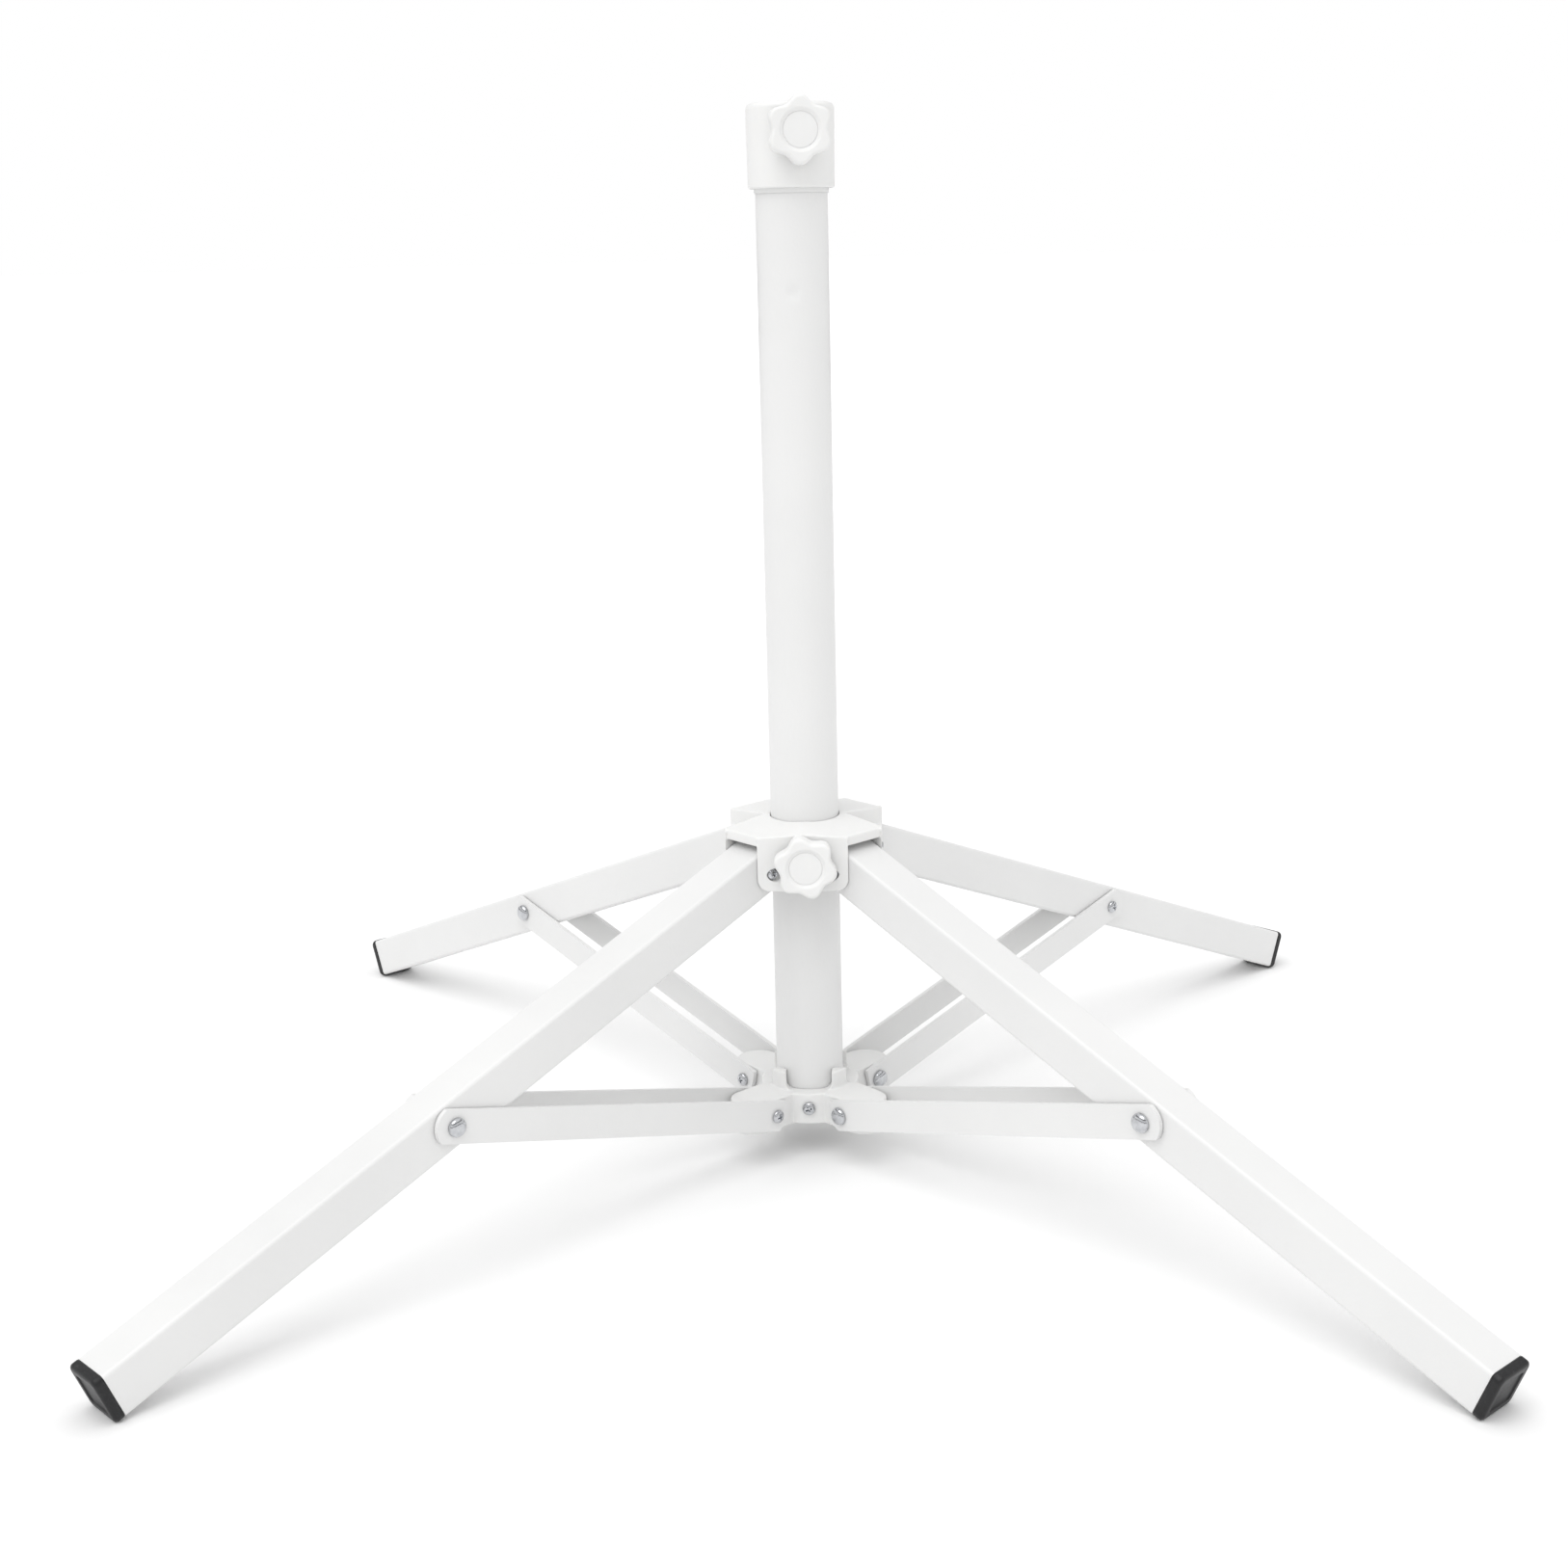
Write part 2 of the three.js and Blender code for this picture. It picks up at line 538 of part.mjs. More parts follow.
function clampKnob(prefix, seat, azimuth, height, lobePhase, tipReach) {
  const turn = outward(azimuth, height, seat).multiply(turned(lobePhase));
  group.add(meshOf(`${prefix}_knob`, knobBody(turn), WHITE_PLASTIC));
  group.add(meshOf(`${prefix}_knob_cap`, knobCap(turn), WHITE_PLASTIC));
  group.add(meshOf(`${prefix}_knob_screw`, clampScrew(turn, tipReach - seat), ZINC));
}

group.add(meshOf('mast_tube', mastTube(), WHITE_COAT));
group.add(meshOf('top_collar', topCollar(), WHITE_PLASTIC));
const topKnobZ = LEG_PIVOT_Z + TOP_KNOB.height;
group.add(meshOf('collar_insert', insert(TOP_KNOB.azimuth, topKnobZ, COLLAR.radius - 2 * GAP), BRASS));
clampKnob('top', COLLAR.radius, TOP_KNOB.azimuth, topKnobZ, TOP_KNOB.lobePhase, MAST.radius - MAST.wall);

group.add(meshOf('upper_hub', upperHub(), WHITE_PLASTIC));
const hubKnobZ = LEG_PIVOT_Z + HUB_KNOB.height;
group.add(meshOf('hub_insert', insert(HUB_KNOB.azimuth, hubKnobZ, UPPER_HUB.faceReach - GAP), BRASS));
clampKnob('hub', UPPER_HUB.faceReach, HUB_KNOB.azimuth, hubKnobZ, HUB_KNOB.lobePhase, MAST.radius + GAP);

group.add(meshOf('lower_hub', lowerHub(), WHITE_PLASTIC));
const hubScrew = panScrew(10, outward(-Math.PI / 2, STRUT_PIVOT_Z, LOWER_HUB.radius + GAP));
group.add(meshOf('lower_hub_screw', hubScrew, ZINC));

for (const { name, azimuth, nutSide } of LEGS) {
  const radial = radialGroup(azimuth);
  group.add(radial);

  const leg = pivotGroup(LEG_PIVOT_Z, Math.PI / 2 - LEG_ANGLE);
  const seat = STRUT_FACE + GAP;
  const boltTurn = sideways(-nutSide, seat, STRUT_PIVOT);
  const nutTurn = sideways(nutSide, seat, STRUT_PIVOT);
  leg.add(meshOf(`leg_tube_${name}`, legTube(), WHITE_COAT));
  leg.add(meshOf(`foot_cap_${name}`, footCap(), BLACK_PLASTIC));
  leg.add(meshOf(`leg_bolt_${name}`, panScrew(2 * seat + 1.5, boltTurn), ZINC));
  leg.add(meshOf(`leg_nut_${name}`, domeNut(nutTurn), ZINC));

  const strut = pivotGroup(STRUT_PIVOT_Z, -STRUT_TILT);
  strut.add(meshOf(`strut_bar_left_${name}`, strutBar(1), WHITE_COAT));
  strut.add(meshOf(`strut_bar_right_${name}`, strutBar(-1), WHITE_COAT));
  strut.add(meshOf(`strut_screw_${name}`, panScrew(STRUT.thickness, sideways(1, seat)), ZINC));
  strut.add(meshOf(`strut_nut_${name}`, domeStud(STRUT.thickness, sideways(-1, seat)), ZINC));

  const hubPivot = pivotGroup(LEG_PIVOT_Z, 0);
  hubPivot.add(meshOf(`hub_pivot_bolt_${name}`, hubPivotBolt(), ZINC));
  hubPivot.add(meshOf(`hub_pivot_nut_${name}`, hubPivotNut(), ZINC));

  const earPivot = pivotGroup(STRUT_PIVOT_Z, 0);
  earPivot.add(meshOf(`ear_pin_${name}`, earPin(), ZINC));
  radial.add(leg, strut, hubPivot, earPivot);
}

export default group;
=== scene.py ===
"""Folding rotary clothesline stand: the looks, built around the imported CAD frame.

Every piece is modelled in millimetres in a frame of its own and placed in metres by that frame's
matrix. Places and lengths come from the CAD frame's joints and boxes; sections and edge radii are
the named values below.
"""

import json
import math

import bmesh
import bpy
from mathutils import Matrix, Vector


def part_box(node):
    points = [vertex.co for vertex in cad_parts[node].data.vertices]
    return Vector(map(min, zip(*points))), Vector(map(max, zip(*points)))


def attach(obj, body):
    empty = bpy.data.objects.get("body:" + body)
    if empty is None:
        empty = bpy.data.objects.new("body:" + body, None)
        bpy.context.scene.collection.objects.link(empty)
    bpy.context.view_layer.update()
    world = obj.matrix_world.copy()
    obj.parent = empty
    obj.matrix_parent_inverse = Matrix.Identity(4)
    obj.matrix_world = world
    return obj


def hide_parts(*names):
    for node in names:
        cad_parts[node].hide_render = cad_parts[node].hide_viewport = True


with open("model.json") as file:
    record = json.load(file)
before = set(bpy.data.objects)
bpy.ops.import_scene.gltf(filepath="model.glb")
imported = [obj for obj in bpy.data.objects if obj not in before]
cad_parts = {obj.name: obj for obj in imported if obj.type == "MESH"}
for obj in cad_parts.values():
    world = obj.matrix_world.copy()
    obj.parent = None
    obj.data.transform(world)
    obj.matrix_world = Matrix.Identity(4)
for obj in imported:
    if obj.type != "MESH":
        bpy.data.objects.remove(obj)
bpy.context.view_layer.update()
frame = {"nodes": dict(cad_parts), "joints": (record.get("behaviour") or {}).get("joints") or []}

MM = 0.001
JOINTS = {joint["name"]: joint for joint in frame["joints"]}
LEG_NAMES = ("front_left", "front_right", "back_right", "back_left")
NUT_SIDE = {"front_left": 1, "front_right": -1, "back_right": 1, "back_left": 1}
UP = Vector((0, 0, 1))
FORWARD = Vector((0, -1, 0))
GAP = 0.3          # between neighbouring pieces
HOLE = 2.75        # radius of the holes for bolts and fixing screws
POCKET = 5.5       # radius of the pockets that hold the threaded inserts


# ---------------------------------------------------------------- places, from the frame

def joint_point(name):
    return Vector(JOINTS[name]["pos_m"])


def joint_axis(name):
    return Vector(JOINTS[name]["axis"])


def middle(node):
    low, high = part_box(node)
    return (low + high) / 2


def reach(node, origin, direction):
    """Nearest and furthest that a CAD node reaches from a point along a direction, in millimetres."""
    vertices = frame["nodes"][node].data.vertices
    along = [(v.co - origin).dot(direction) / MM for v in vertices]
    return min(along), max(along)


def axes(origin, x, y):
    """A frame in metres, from its origin and its X and Y directions."""
    x, y = x.normalized(), y.normalized()
    columns = Matrix((x, y, x.cross(y))).transposed()
    return Matrix.Translation(origin) @ columns.to_4x4()


def outward(point, direction):
    """A frame whose Z axis points along a horizontal direction, with Y up."""
    direction = direction.normalized()
    return axes(point, UP.cross(direction), UP)


LEG_PIVOT = {leg: joint_point(f"leg_fold_{leg}") for leg in LEG_NAMES}
STRUT_JOINT = {leg: joint_point(f"strut_fold_{leg}") for leg in LEG_NAMES}
EAR_PIVOT = {leg: middle(f"ear_pin_{leg}") for leg in LEG_NAMES}
ACROSS = {leg: joint_axis(f"leg_fold_{leg}") for leg in LEG_NAMES}
LEG_FRAME = {leg: axes(LEG_PIVOT[leg], STRUT_JOINT[leg] - LEG_PIVOT[leg], ACROSS[leg])
             for leg in LEG_NAMES}
STRUT_FRAME = {leg: axes(EAR_PIVOT[leg], STRUT_JOINT[leg] - EAR_PIVOT[leg], ACROSS[leg])
               for leg in LEG_NAMES}
STRUT_AT = (STRUT_JOINT["front_left"] - LEG_PIVOT["front_left"]).length / MM
STRUT_LENGTH = (STRUT_JOINT["front_left"] - EAR_PIVOT["front_left"]).length / MM
PIVOT_RADIUS = Vector(LEG_PIVOT["front_left"].xy).length / MM
HUB_FRAME = Matrix.Translation((0, 0, LEG_PIVOT["front_left"].z))
BASE_FRAME = Matrix.Translation((0, 0, EAR_PIVOT["front_left"].z))


# ---------------------------------------------------------------- mesh building

def make_object(name, points, faces, place=None):
    """A mesh object from points in millimetres, placed by a matrix in metres."""
    mesh = bpy.data.meshes.new(name)
    mesh.from_pydata([Vector(p) * MM for p in points], [], faces)
    mesh.update()
    obj = bpy.data.objects.new(name, mesh)
    bpy.context.scene.collection.objects.link(obj)
    if place is not None:
        obj.matrix_world = place
    return obj


def lathe(name, profile, place=None, sides=96, swell=None):
    """Revolves a profile of (radius, height) about Z. Ends on the axis become poles, and a profile that
    doesn't end there closes on itself. swell(radius, height, angle) may change a point's radius."""
    points, rings = [], []
    for radius, height in profile:
        if radius < 1e-6:
            rings.append([len(points)] * sides)
            points.append((0, 0, height))
            continue
        rings.append(list(range(len(points), len(points) + sides)))
        for step in range(sides):
            angle = 2 * math.pi * step / sides
            r = swell(radius, height, angle) if swell else radius
            points.append((r * math.cos(angle), r * math.sin(angle), height))
    closed = profile[0][0] > 1e-6
    pairs = list(zip(rings, rings[1:] + rings[:1])) if closed else list(zip(rings, rings[1:]))
    faces = []
    for low, high in pairs:
        for step in range(sides):
            after = (step + 1) % sides
            corner = (low[step], low[after], high[after], high[step])
            faces.append(tuple(dict.fromkeys(corner)))
    return outside_out(make_object(name, points, faces, place))


def loft(name, sections, place=None):
    """Skins outlines of (x, y) with equally many points, each at its height, and closes both ends."""
    count = len(sections[0][0])
    points = [(x, y, height) for outline, height in sections for x, y in outline]
    last = len(points) - count
    faces = [tuple(range(count - 1, -1, -1)), tuple(range(last, last + count))]
    faces += [(row + i, row + (i + 1) % count, row + count + (i + 1) % count, row + count + i)
              for row in range(0, last, count) for i in range(count)]
    return outside_out(make_object(name, points, faces, place))


def prism(name, outline, low, high, place=None):
    """Extrudes a closed outline of (x, y) along Z."""
    return loft(name, [(outline, low), (outline, high)], place)


def outside_out(obj):
    """Turns the faces outwards."""
    work = bmesh.new()
    work.from_mesh(obj.data)
    bmesh.ops.recalc_face_normals(work, faces=work.faces)
    work.to_mesh(obj.data)
    work.free()
    return obj


def rod(name, radius, low, high, place=None, sides=48):
    return lathe(name, [(0, low), (radius, low), (radius, high), (0, high)], place, sides)


def slab(name, size, centre, place=None):
    (x, y, z), (half_x, half_y, half_z) = centre, [length / 2 for length in size]
    outline = [(x - half_x, y - half_y), (x + half_x, y - half_y),
               (x + half_x, y + half_y), (x - half_x, y + half_y)]
    return prism(name, outline, z - half_z, z + half_z, place)


def arc(cx, cy, radius, start, end, steps):
    """Points on an arc, angles in degrees."""
    angles = [math.radians(start + (end - start) * i / steps) for i in range(steps + 1)]
    return [(cx + radius * math.cos(a), cy + radius * math.sin(a)) for a in angles]


def rounded_square(size, radius, steps=6):
    inner = size / 2 - radius
    corners = ((inner, inner, 0), (-inner, inner, 90), (-inner, -inner, 180), (inner, -inner, 270))
    return [p for x, y, start in corners for p in arc(x, y, radius, start, start + 90, steps)]


def apply_modifiers(obj):
    graph = bpy.context.evaluated_depsgraph_get()
    mesh = bpy.data.meshes.new_from_object(obj.evaluated_get(graph))
    obj.modifiers.clear()
    obj.data = mesh
    return obj


def combine(obj, others, operation):
    """Joins other objects to obj or cuts them from it, and removes them."""
    for other in others:
        modifier = obj.modifiers.new("combine", "BOOLEAN")
        modifier.operation, modifier.solver, modifier.object = operation, "MANIFOLD", other
    bpy.context.view_layer.update()
    apply_modifiers(obj)
    for other in others:
        bpy.data.objects.remove(other)
    return obj


def cut(obj, *tools):
    return combine(obj, tools, "DIFFERENCE")


def join(obj, *others):
    return combine(obj, others, "UNION")


def bevel(obj, width, segments=3, angle=32):
    """Rounds the edges sharper than an angle, and weights the normals so that flats stay flat."""
    rounding = obj.modifiers.new("bevel", "BEVEL")
    rounding.width, rounding.segments = width * MM, segments
    rounding.limit_method, rounding.angle_limit = "ANGLE", math.radians(angle)
    rounding.miter_outer = "MITER_ARC"
    apply_modifiers(obj)
    smooth(obj)
    obj.modifiers.new("normals", "WEIGHTED_NORMAL").keep_sharp = True
    return apply_modifiers(obj)


def smooth(obj):
    obj.data.shade_smooth()
    return obj


def soften(obj, voxel, rounds):
    """Remeshes a moulded piece and smooths it, so that every edge and inner corner is rounded."""
    remesh = obj.modifiers.new("remesh", "REMESH")
    remesh.mode, remesh.voxel_size = "VOXEL", voxel * MM
    relax = obj.modifiers.new("relax", "SMOOTH")
    relax.factor, relax.iterations = 0.5, rounds
    apply_modifiers(obj)
    return smooth(obj)


def finish_piece(obj, body, slot, material, *nodes):
    """Gives a piece its material and its body, and hides the CAD nodes that it stands for. Its finish
    slot is not used.
    """
    obj.data.transform(obj.matrix_world)
    obj.matrix_world = Matrix.Identity(4)
    obj.data.materials.clear()
    obj.data.materials.append(material)
    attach(obj, body)
    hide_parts(*nodes)
    return obj


# ---------------------------------------------------------------- materials

def new_material(name):
    material = bpy.data.materials.new(name)
    material.use_nodes = True
    nodes = material.node_tree.nodes
    return material, nodes, material.node_tree.links, nodes["Principled BSDF"]


def noise(nodes, links, coordinates, scale, detail=3.0, roughness=0.5):
    texture = nodes.new("ShaderNodeTexNoise")
    texture.inputs["Scale"].default_value = scale
    texture.inputs["Detail"].default_value = detail
    texture.inputs["Roughness"].default_value = roughness
    links.new(coordinates, texture.inputs["Vector"])
    return texture.outputs["Fac"]


def remap(nodes, links, value, low, high, start=0.0, end=1.0):
    node = nodes.new("ShaderNodeMapRange")
    node.inputs["From Min"].default_value, node.inputs["From Max"].default_value = start, end
    node.inputs["To Min"].default_value, node.inputs["To Max"].default_value = low, high
    links.new(value, node.inputs["Value"])
    return node.outputs["Result"]


def tint(nodes, links, factor, dark, light):
    node = nodes.new("ShaderNodeMix")
    node.data_type = "RGBA"
    node.inputs["A"].default_value, node.inputs["B"].default_value = (*dark, 1), (*light, 1)
    links.new(factor, node.inputs["Factor"])
    return node.outputs["Result"]


def bump(nodes, links, height, strength, distance, under=None):
    node = nodes.new("ShaderNodeBump")
    node.inputs["Strength"].default_value = strength
    node.inputs["Distance"].default_value = distance
    links.new(height, node.inputs["Height"])
    if under is not None:
        links.new(under, node.inputs["Normal"])
    return node.outputs["Normal"]


def object_coordinates(nodes, links, stretch=(1, 1, 1)):
    source = nodes.new("ShaderNodeTexCoord")
    mapping = nodes.new("ShaderNodeMapping")
    mapping.inputs["Scale"].default_value = stretch
    links.new(source.outputs["Object"], mapping.inputs["Vector"])
    return mapping.outputs["Vector"]


def powder_coat():
    """White powder coat: soft orange peel, and clouds of dust in the colour and the gloss."""
    material, nodes, links, shader = new_material("powder_coat_white")
    flat = object_coordinates(nodes, links)
    cloud = remap(nodes, links, noise(nodes, links, flat, 9), 0, 1, 0.35, 0.7)
    colour = tint(nodes, links, cloud, (0.705, 0.705, 0.702), (0.735, 0.735, 0.731))
    links.new(colour, shader.inputs["Base Color"])
    dust = noise(nodes, links, flat, 60, 5)
    links.new(remap(nodes, links, dust, 0.34, 0.48, 0.3, 0.7), shader.inputs["Roughness"])
    peel = bump(nodes, links, noise(nodes, links, flat, 620, 2), 0.22, 0.00025)
    fine = bump(nodes, links, noise(nodes, links, flat, 2600, 2), 0.10, 0.0001, peel)
    links.new(fine, shader.inputs["Normal"])
    shader.inputs["Coat Weight"].default_value = 0.06
    shader.inputs["Coat Roughness"].default_value = 0.32
    return material


def white_plastic():
    """Moulded white polypropylene: waxy, with faint flow marks and a fine eroded grain."""
    material, nodes, links, shader = new_material("plastic_white")
    flat = object_coordinates(nodes, links)
    flow = noise(nodes, links, object_coordinates(nodes, links, (1, 1, 0.25)), 34, 4, 0.6)
    mark = remap(nodes, links, flow, 0, 1, 0.35, 0.7)
    colour = tint(nodes, links, mark, (0.74, 0.74, 0.733), (0.765, 0.765, 0.758))
    links.new(colour, shader.inputs["Base Color"])
    links.new(remap(nodes, links, flow, 0.40, 0.52, 0.3, 0.7), shader.inputs["Roughness"])
    waves = bump(nodes, links, flow, 0.12, 0.0006)
    grain = bump(nodes, links, noise(nodes, links, flat, 1900, 3), 0.16, 0.00012, waves)
    links.new(grain, shader.inputs["Normal"])
    shader.inputs["Subsurface Weight"].default_value = 0.08
    shader.inputs["Subsurface Radius"].default_value = (0.0016, 0.0015, 0.0013)
    shader.inputs["Subsurface Scale"].default_value = 1.0
    return material


def black_plastic():
    """Moulded black polyethylene, matt and unevenly scuffed."""
    material, nodes, links, shader = new_material("plastic_black")
    flat = object_coordinates(nodes, links)
    scuff = remap(nodes, links, noise(nodes, links, flat, 240, 6, 0.7), 0, 1, 0.55, 0.78)
    colour = tint(nodes, links, scuff, (0.014, 0.014, 0.015), (0.05, 0.05, 0.052))
    links.new(colour, shader.inputs["Base Color"])
    links.new(remap(nodes, links, scuff, 0.42, 0.66), shader.inputs["Roughness"])
    grain = bump(nodes, links, noise(nodes, links, flat, 1300, 4), 0.3, 0.0002)
    links.new(grain, shader.inputs["Normal"])
    shader.inputs["Specular IOR Level"].default_value = 0.32
    return material


def metal(name, dark, light, low, high, stretch=(1, 1, 1)):
    """Plated or machined metal with a cloudy gloss and fine tool marks."""
    material, nodes, links, shader = new_material(name)
    flat = object_coordinates(nodes, links, stretch)
    cloud = remap(nodes, links, noise(nodes, links, flat, 380, 5, 0.65), 0, 1, 0.3, 0.7)
    links.new(tint(nodes, links, cloud, dark, light), shader.inputs["Base Color"])
    links.new(remap(nodes, links, cloud, low, high), shader.inputs["Roughness"])
    marks = bump(nodes, links, noise(nodes, links, flat, 2400, 2), 0.08, 0.00008)
    links.new(marks, shader.inputs["Normal"])
    shader.inputs["Metallic"].default_value = 1.0
    return material


COAT = powder_coat()
WHITE = white_plastic()
BLACK = black_plastic()
ZINC = metal("zinc_plate", (0.46, 0.47, 0.49), (0.66, 0.67, 0.69), 0.12, 0.26)
BRASS = metal("brass_turned", (0.55, 0.40, 0.17), (0.72, 0.55, 0.27), 0.2, 0.36, (1, 1, 6))


# ---------------------------------------------------------------- mast and collar

MAST_RADIUS, MAST_WALL = 19.0, 1.2
DIMPLE = {"height": 481.0, "azimuth": -88.0, "radius": 5.5, "depth": 0.9}


def mast():
    """Round tube with chamfered ends, a small dent in front, and the holes of its two screws."""
    low, high = (v.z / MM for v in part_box("mast_tube"))
    lip, inner, clamp_hole = 0.35, MAST_RADIUS - MAST_WALL, 4.2
    rows = [low + lip + (high - low - 2 * lip) * i / 420 for i in range(421)]
    profile = [(inner, high - lip), (inner + lip, high), (MAST_RADIUS - lip, high)]
    profile += [(MAST_RADIUS, z) for z in reversed(rows)]
    profile += [(MAST_RADIUS - lip, low), (inner + lip, low), (inner, low + lip)]
    centre = math.radians(DIMPLE["azimuth"])

    def press(radius, height, angle):
        turn = (angle - centre + math.pi) % (2 * math.pi) - math.pi
        away = math.hypot(turn * MAST_RADIUS, height - DIMPLE["height"]) / DIMPLE["radius"]
        if radius < MAST_RADIUS or away >= 1:
            return radius
        return radius - DIMPLE["depth"] * (0.5 + 0.5 * math.cos(math.pi * away))

    tube = lathe("mast", profile, Matrix.Identity(4), 128, press)
    clamp_place = outward(Vector((0, 0, joint_point("top_knob_turn").z)), joint_axis("top_knob_turn"))
    tools = [rod("hole", HOLE, 10, 24, outward(BASE_FRAME.translation, FORWARD)),
             rod("hole", clamp_hole, 10, 24, clamp_place)]
    smooth(cut(tube, *tools))
    return finish_piece(tube, "stand", "powder_coat", COAT, "mast_tube")


def collar():
    """Socket collar: a lip over the mast's end, a rounded rim, and a narrow neck under its hem."""
    low, high = (v.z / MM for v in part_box("top_collar"))
    top, foot, bore, mouth, lip = 23.15, 22.75, 19.3, 17.0, 6.5
    edge, neck, neck_height, hem, groove = 3.0, 19.7, 2.4, 1.0, 1.5
    start, step = low + neck_height + hem, foot - 1.3
    profile = [(bore, low), (neck - 0.1, low), (neck, low + 0.1), (neck, low + neck_height + groove)]
    profile += [(step, low + neck_height + groove), (step, low + neck_height)]
    profile += arc(foot - hem, start, hem, -90, 0, 5)
    profile += [(foot + (top - foot) * i / 8, start + (high - edge - start) * i / 8)
                for i in range(1, 9)]
    profile += arc(top - edge, high - edge, edge, 12, 90, 7)
    profile += arc(mouth + 0.9, high - 0.9, 0.9, 90, 180, 4)
    profile += [(mouth, high - lip + 0.6), (mouth + 0.6, high - lip), (bore, high - lip)]
    ring = lathe("collar", profile, Matrix.Identity(4), 128)
    knob = joint_point("top_knob_turn")
    pocket = rod("pocket", POCKET, -5, 3, outward(knob, joint_axis("top_knob_turn")))
    cut(ring, pocket)
    smooth(ring)
    ring.modifiers.new("normals", "WEIGHTED_NORMAL")
    apply_modifiers(ring)
    return finish_piece(ring, "stand", "white_plastic", WHITE, "top_collar")


# ---------------------------------------------------------------- clamp knobs

KNOB = {"radius": 17.42, "lobe": 3.0, "lobes": 6, "off": 2.2, "thick": 10.2, "edge": 2.0, "stem": 6.5}
CAP = {"radius": 9.0, "thick": 2.2, "sunk": 1.3}
LOBE_PHASE = {"top_knob": 0, "hub_knob": 15}


def knob_place(body):
    """A knob's frame: Z outwards with 0 on the surface behind it, turned to its lobes' phase."""
    place = outward(joint_point(f"{body}_turn"), joint_axis(f"{body}_turn"))
    return place @ Matrix.Rotation(math.radians(LOBE_PHASE[body] + 90), 4, "Z")


def lobed(radius, height, angle):
    """Waves the outer part of a knob, and leaves its stem and its middle round."""
    share = min(1.0, max(0.0, (radius - CAP["radius"] - 2.5) / 3.5))
    return radius - share * KNOB["lobe"] / 2 * (1 - math.cos(KNOB["lobes"] * angle))


def knob(body):
    """A lobed grip with a stem behind it, and a soft dish down to the pocket of its cap."""
    face, back = KNOB["off"] + KNOB["thick"], KNOB["off"]
    rim, edge, recess = KNOB["radius"], KNOB["edge"], CAP["radius"] + 0.06
    floor = face - CAP["thick"]
    profile = [(3.3, 0.3), (KNOB["stem"] - 0.5, 0.3), (KNOB["stem"], 0.8), (KNOB["stem"], back - 0.8)]
    profile += [(KNOB["stem"] + 0.8, back)] + [(KNOB["stem"] + 0.8 + i, back) for i in range(1, 6)]
    profile += arc(rim - edge, back + edge, edge, -90, 0, 6)
    profile += [(rim, back + edge + i) for i in range(1, 6)]
    profile += arc(rim - edge, face - edge, edge, 0, 90, 7)
    profile += [(rim - edge - i * 0.9, face - 0.02 * i) for i in range(1, 5)]
    sink = CAP["sunk"] - 0.08
    profile += [(recess + 2.4 * (1 - i / 9), face - 0.08 - sink * (0.5 - 0.5 * math.cos(math.pi * i / 9)))
                for i in range(10)]
    profile += [(recess, floor), (5.9, floor), (5.9, floor - 4.3), (3.3, floor - 4.3)]
    piece = smooth(lathe(body + "_grip", profile, knob_place(body), 192, lobed))
    piece.modifiers.new("normals", "WEIGHTED_NORMAL")
    apply_modifiers(piece)
    return finish_piece(piece, body, "white_plastic", WHITE, body)


def knob_cap(body):
    """The round cap in a knob's face, very slightly domed."""
    top = KNOB["off"] + KNOB["thick"] - CAP["sunk"]
    low = KNOB["off"] + KNOB["thick"] - CAP["thick"] + 0.3
    profile = [(0, low), (CAP["radius"], low), (CAP["radius"], top - 0.1), (CAP["radius"] - 0.1, top)]
    profile += [(CAP["radius"] * s, top + 0.25 * (1 - s * s)) for s in (0.94, 0.8, 0.6, 0.4, 0.2, 0)]
    piece = smooth(lathe(body + "_disc", profile, knob_place(body), 96))
    return finish_piece(piece, body, "white_plastic", WHITE, body + "_cap")


def clamp_screw(body):
    """Hex-headed clamp screw with a rolled thread and a dog point."""
    start, end = reach(body + "_screw", joint_point(f"{body}_turn"), joint_axis(f"{body}_turn"))
    head_low = KNOB["off"] + KNOB["thick"] - CAP["thick"] - 4.0
    profile = [(0, start), (2.1, start), (2.4, start + 0.4), (2.4, start + 1.2)]
    pitch, root, crest = 1.0, 2.55, 3.0
    turns = int((head_low - 1.5 - start - 1.2) / pitch)
    for turn in range(turns):
        z = start + 1.2 + turn * pitch
        profile += [(root, z + 0.1), (crest, z + 0.45), (crest, z + 0.6), (root, z + 0.95)]
    profile += [(crest, head_low), (0, head_low)]
    shank = lathe(body + "_bolt", profile, knob_place(body), 32)
    head = prism("head", arc(0, 0, 5.5, 0, 300, 5), head_low - 0.2, end, knob_place(body))
    bevel(join(shank, head), 0.15, 1, 50)
    return finish_piece(shank, body, "zinc_steel", ZINC, body + "_screw")


def thread_insert(node, body, joint, depth):
    """Knurled round insert with a chamfered bore, sunk a little below the surface behind its knob."""
    point = joint_point(joint) - joint_axis(joint) * depth * MM
    length, radius, bore = 3.2, 4.9, 3.3
    profile = [(bore, -length), (radius - 0.3, -length), (radius, 0.3 - length)]
    profile += [(radius, -0.3), (radius - 0.3, 0), (bore + 0.4, 0), (bore, -0.4)]

    def knurl(r, height, angle):
        return r - 0.18 * (math.cos(36 * angle) > 0) if r > radius - 0.01 else r

    piece = lathe(node + "_brass", profile, outward(point, joint_axis(joint)), 144, knurl)
    return finish_piece(piece, body, "brass_insert", BRASS, node)


# ---------------------------------------------------------------- upper hub

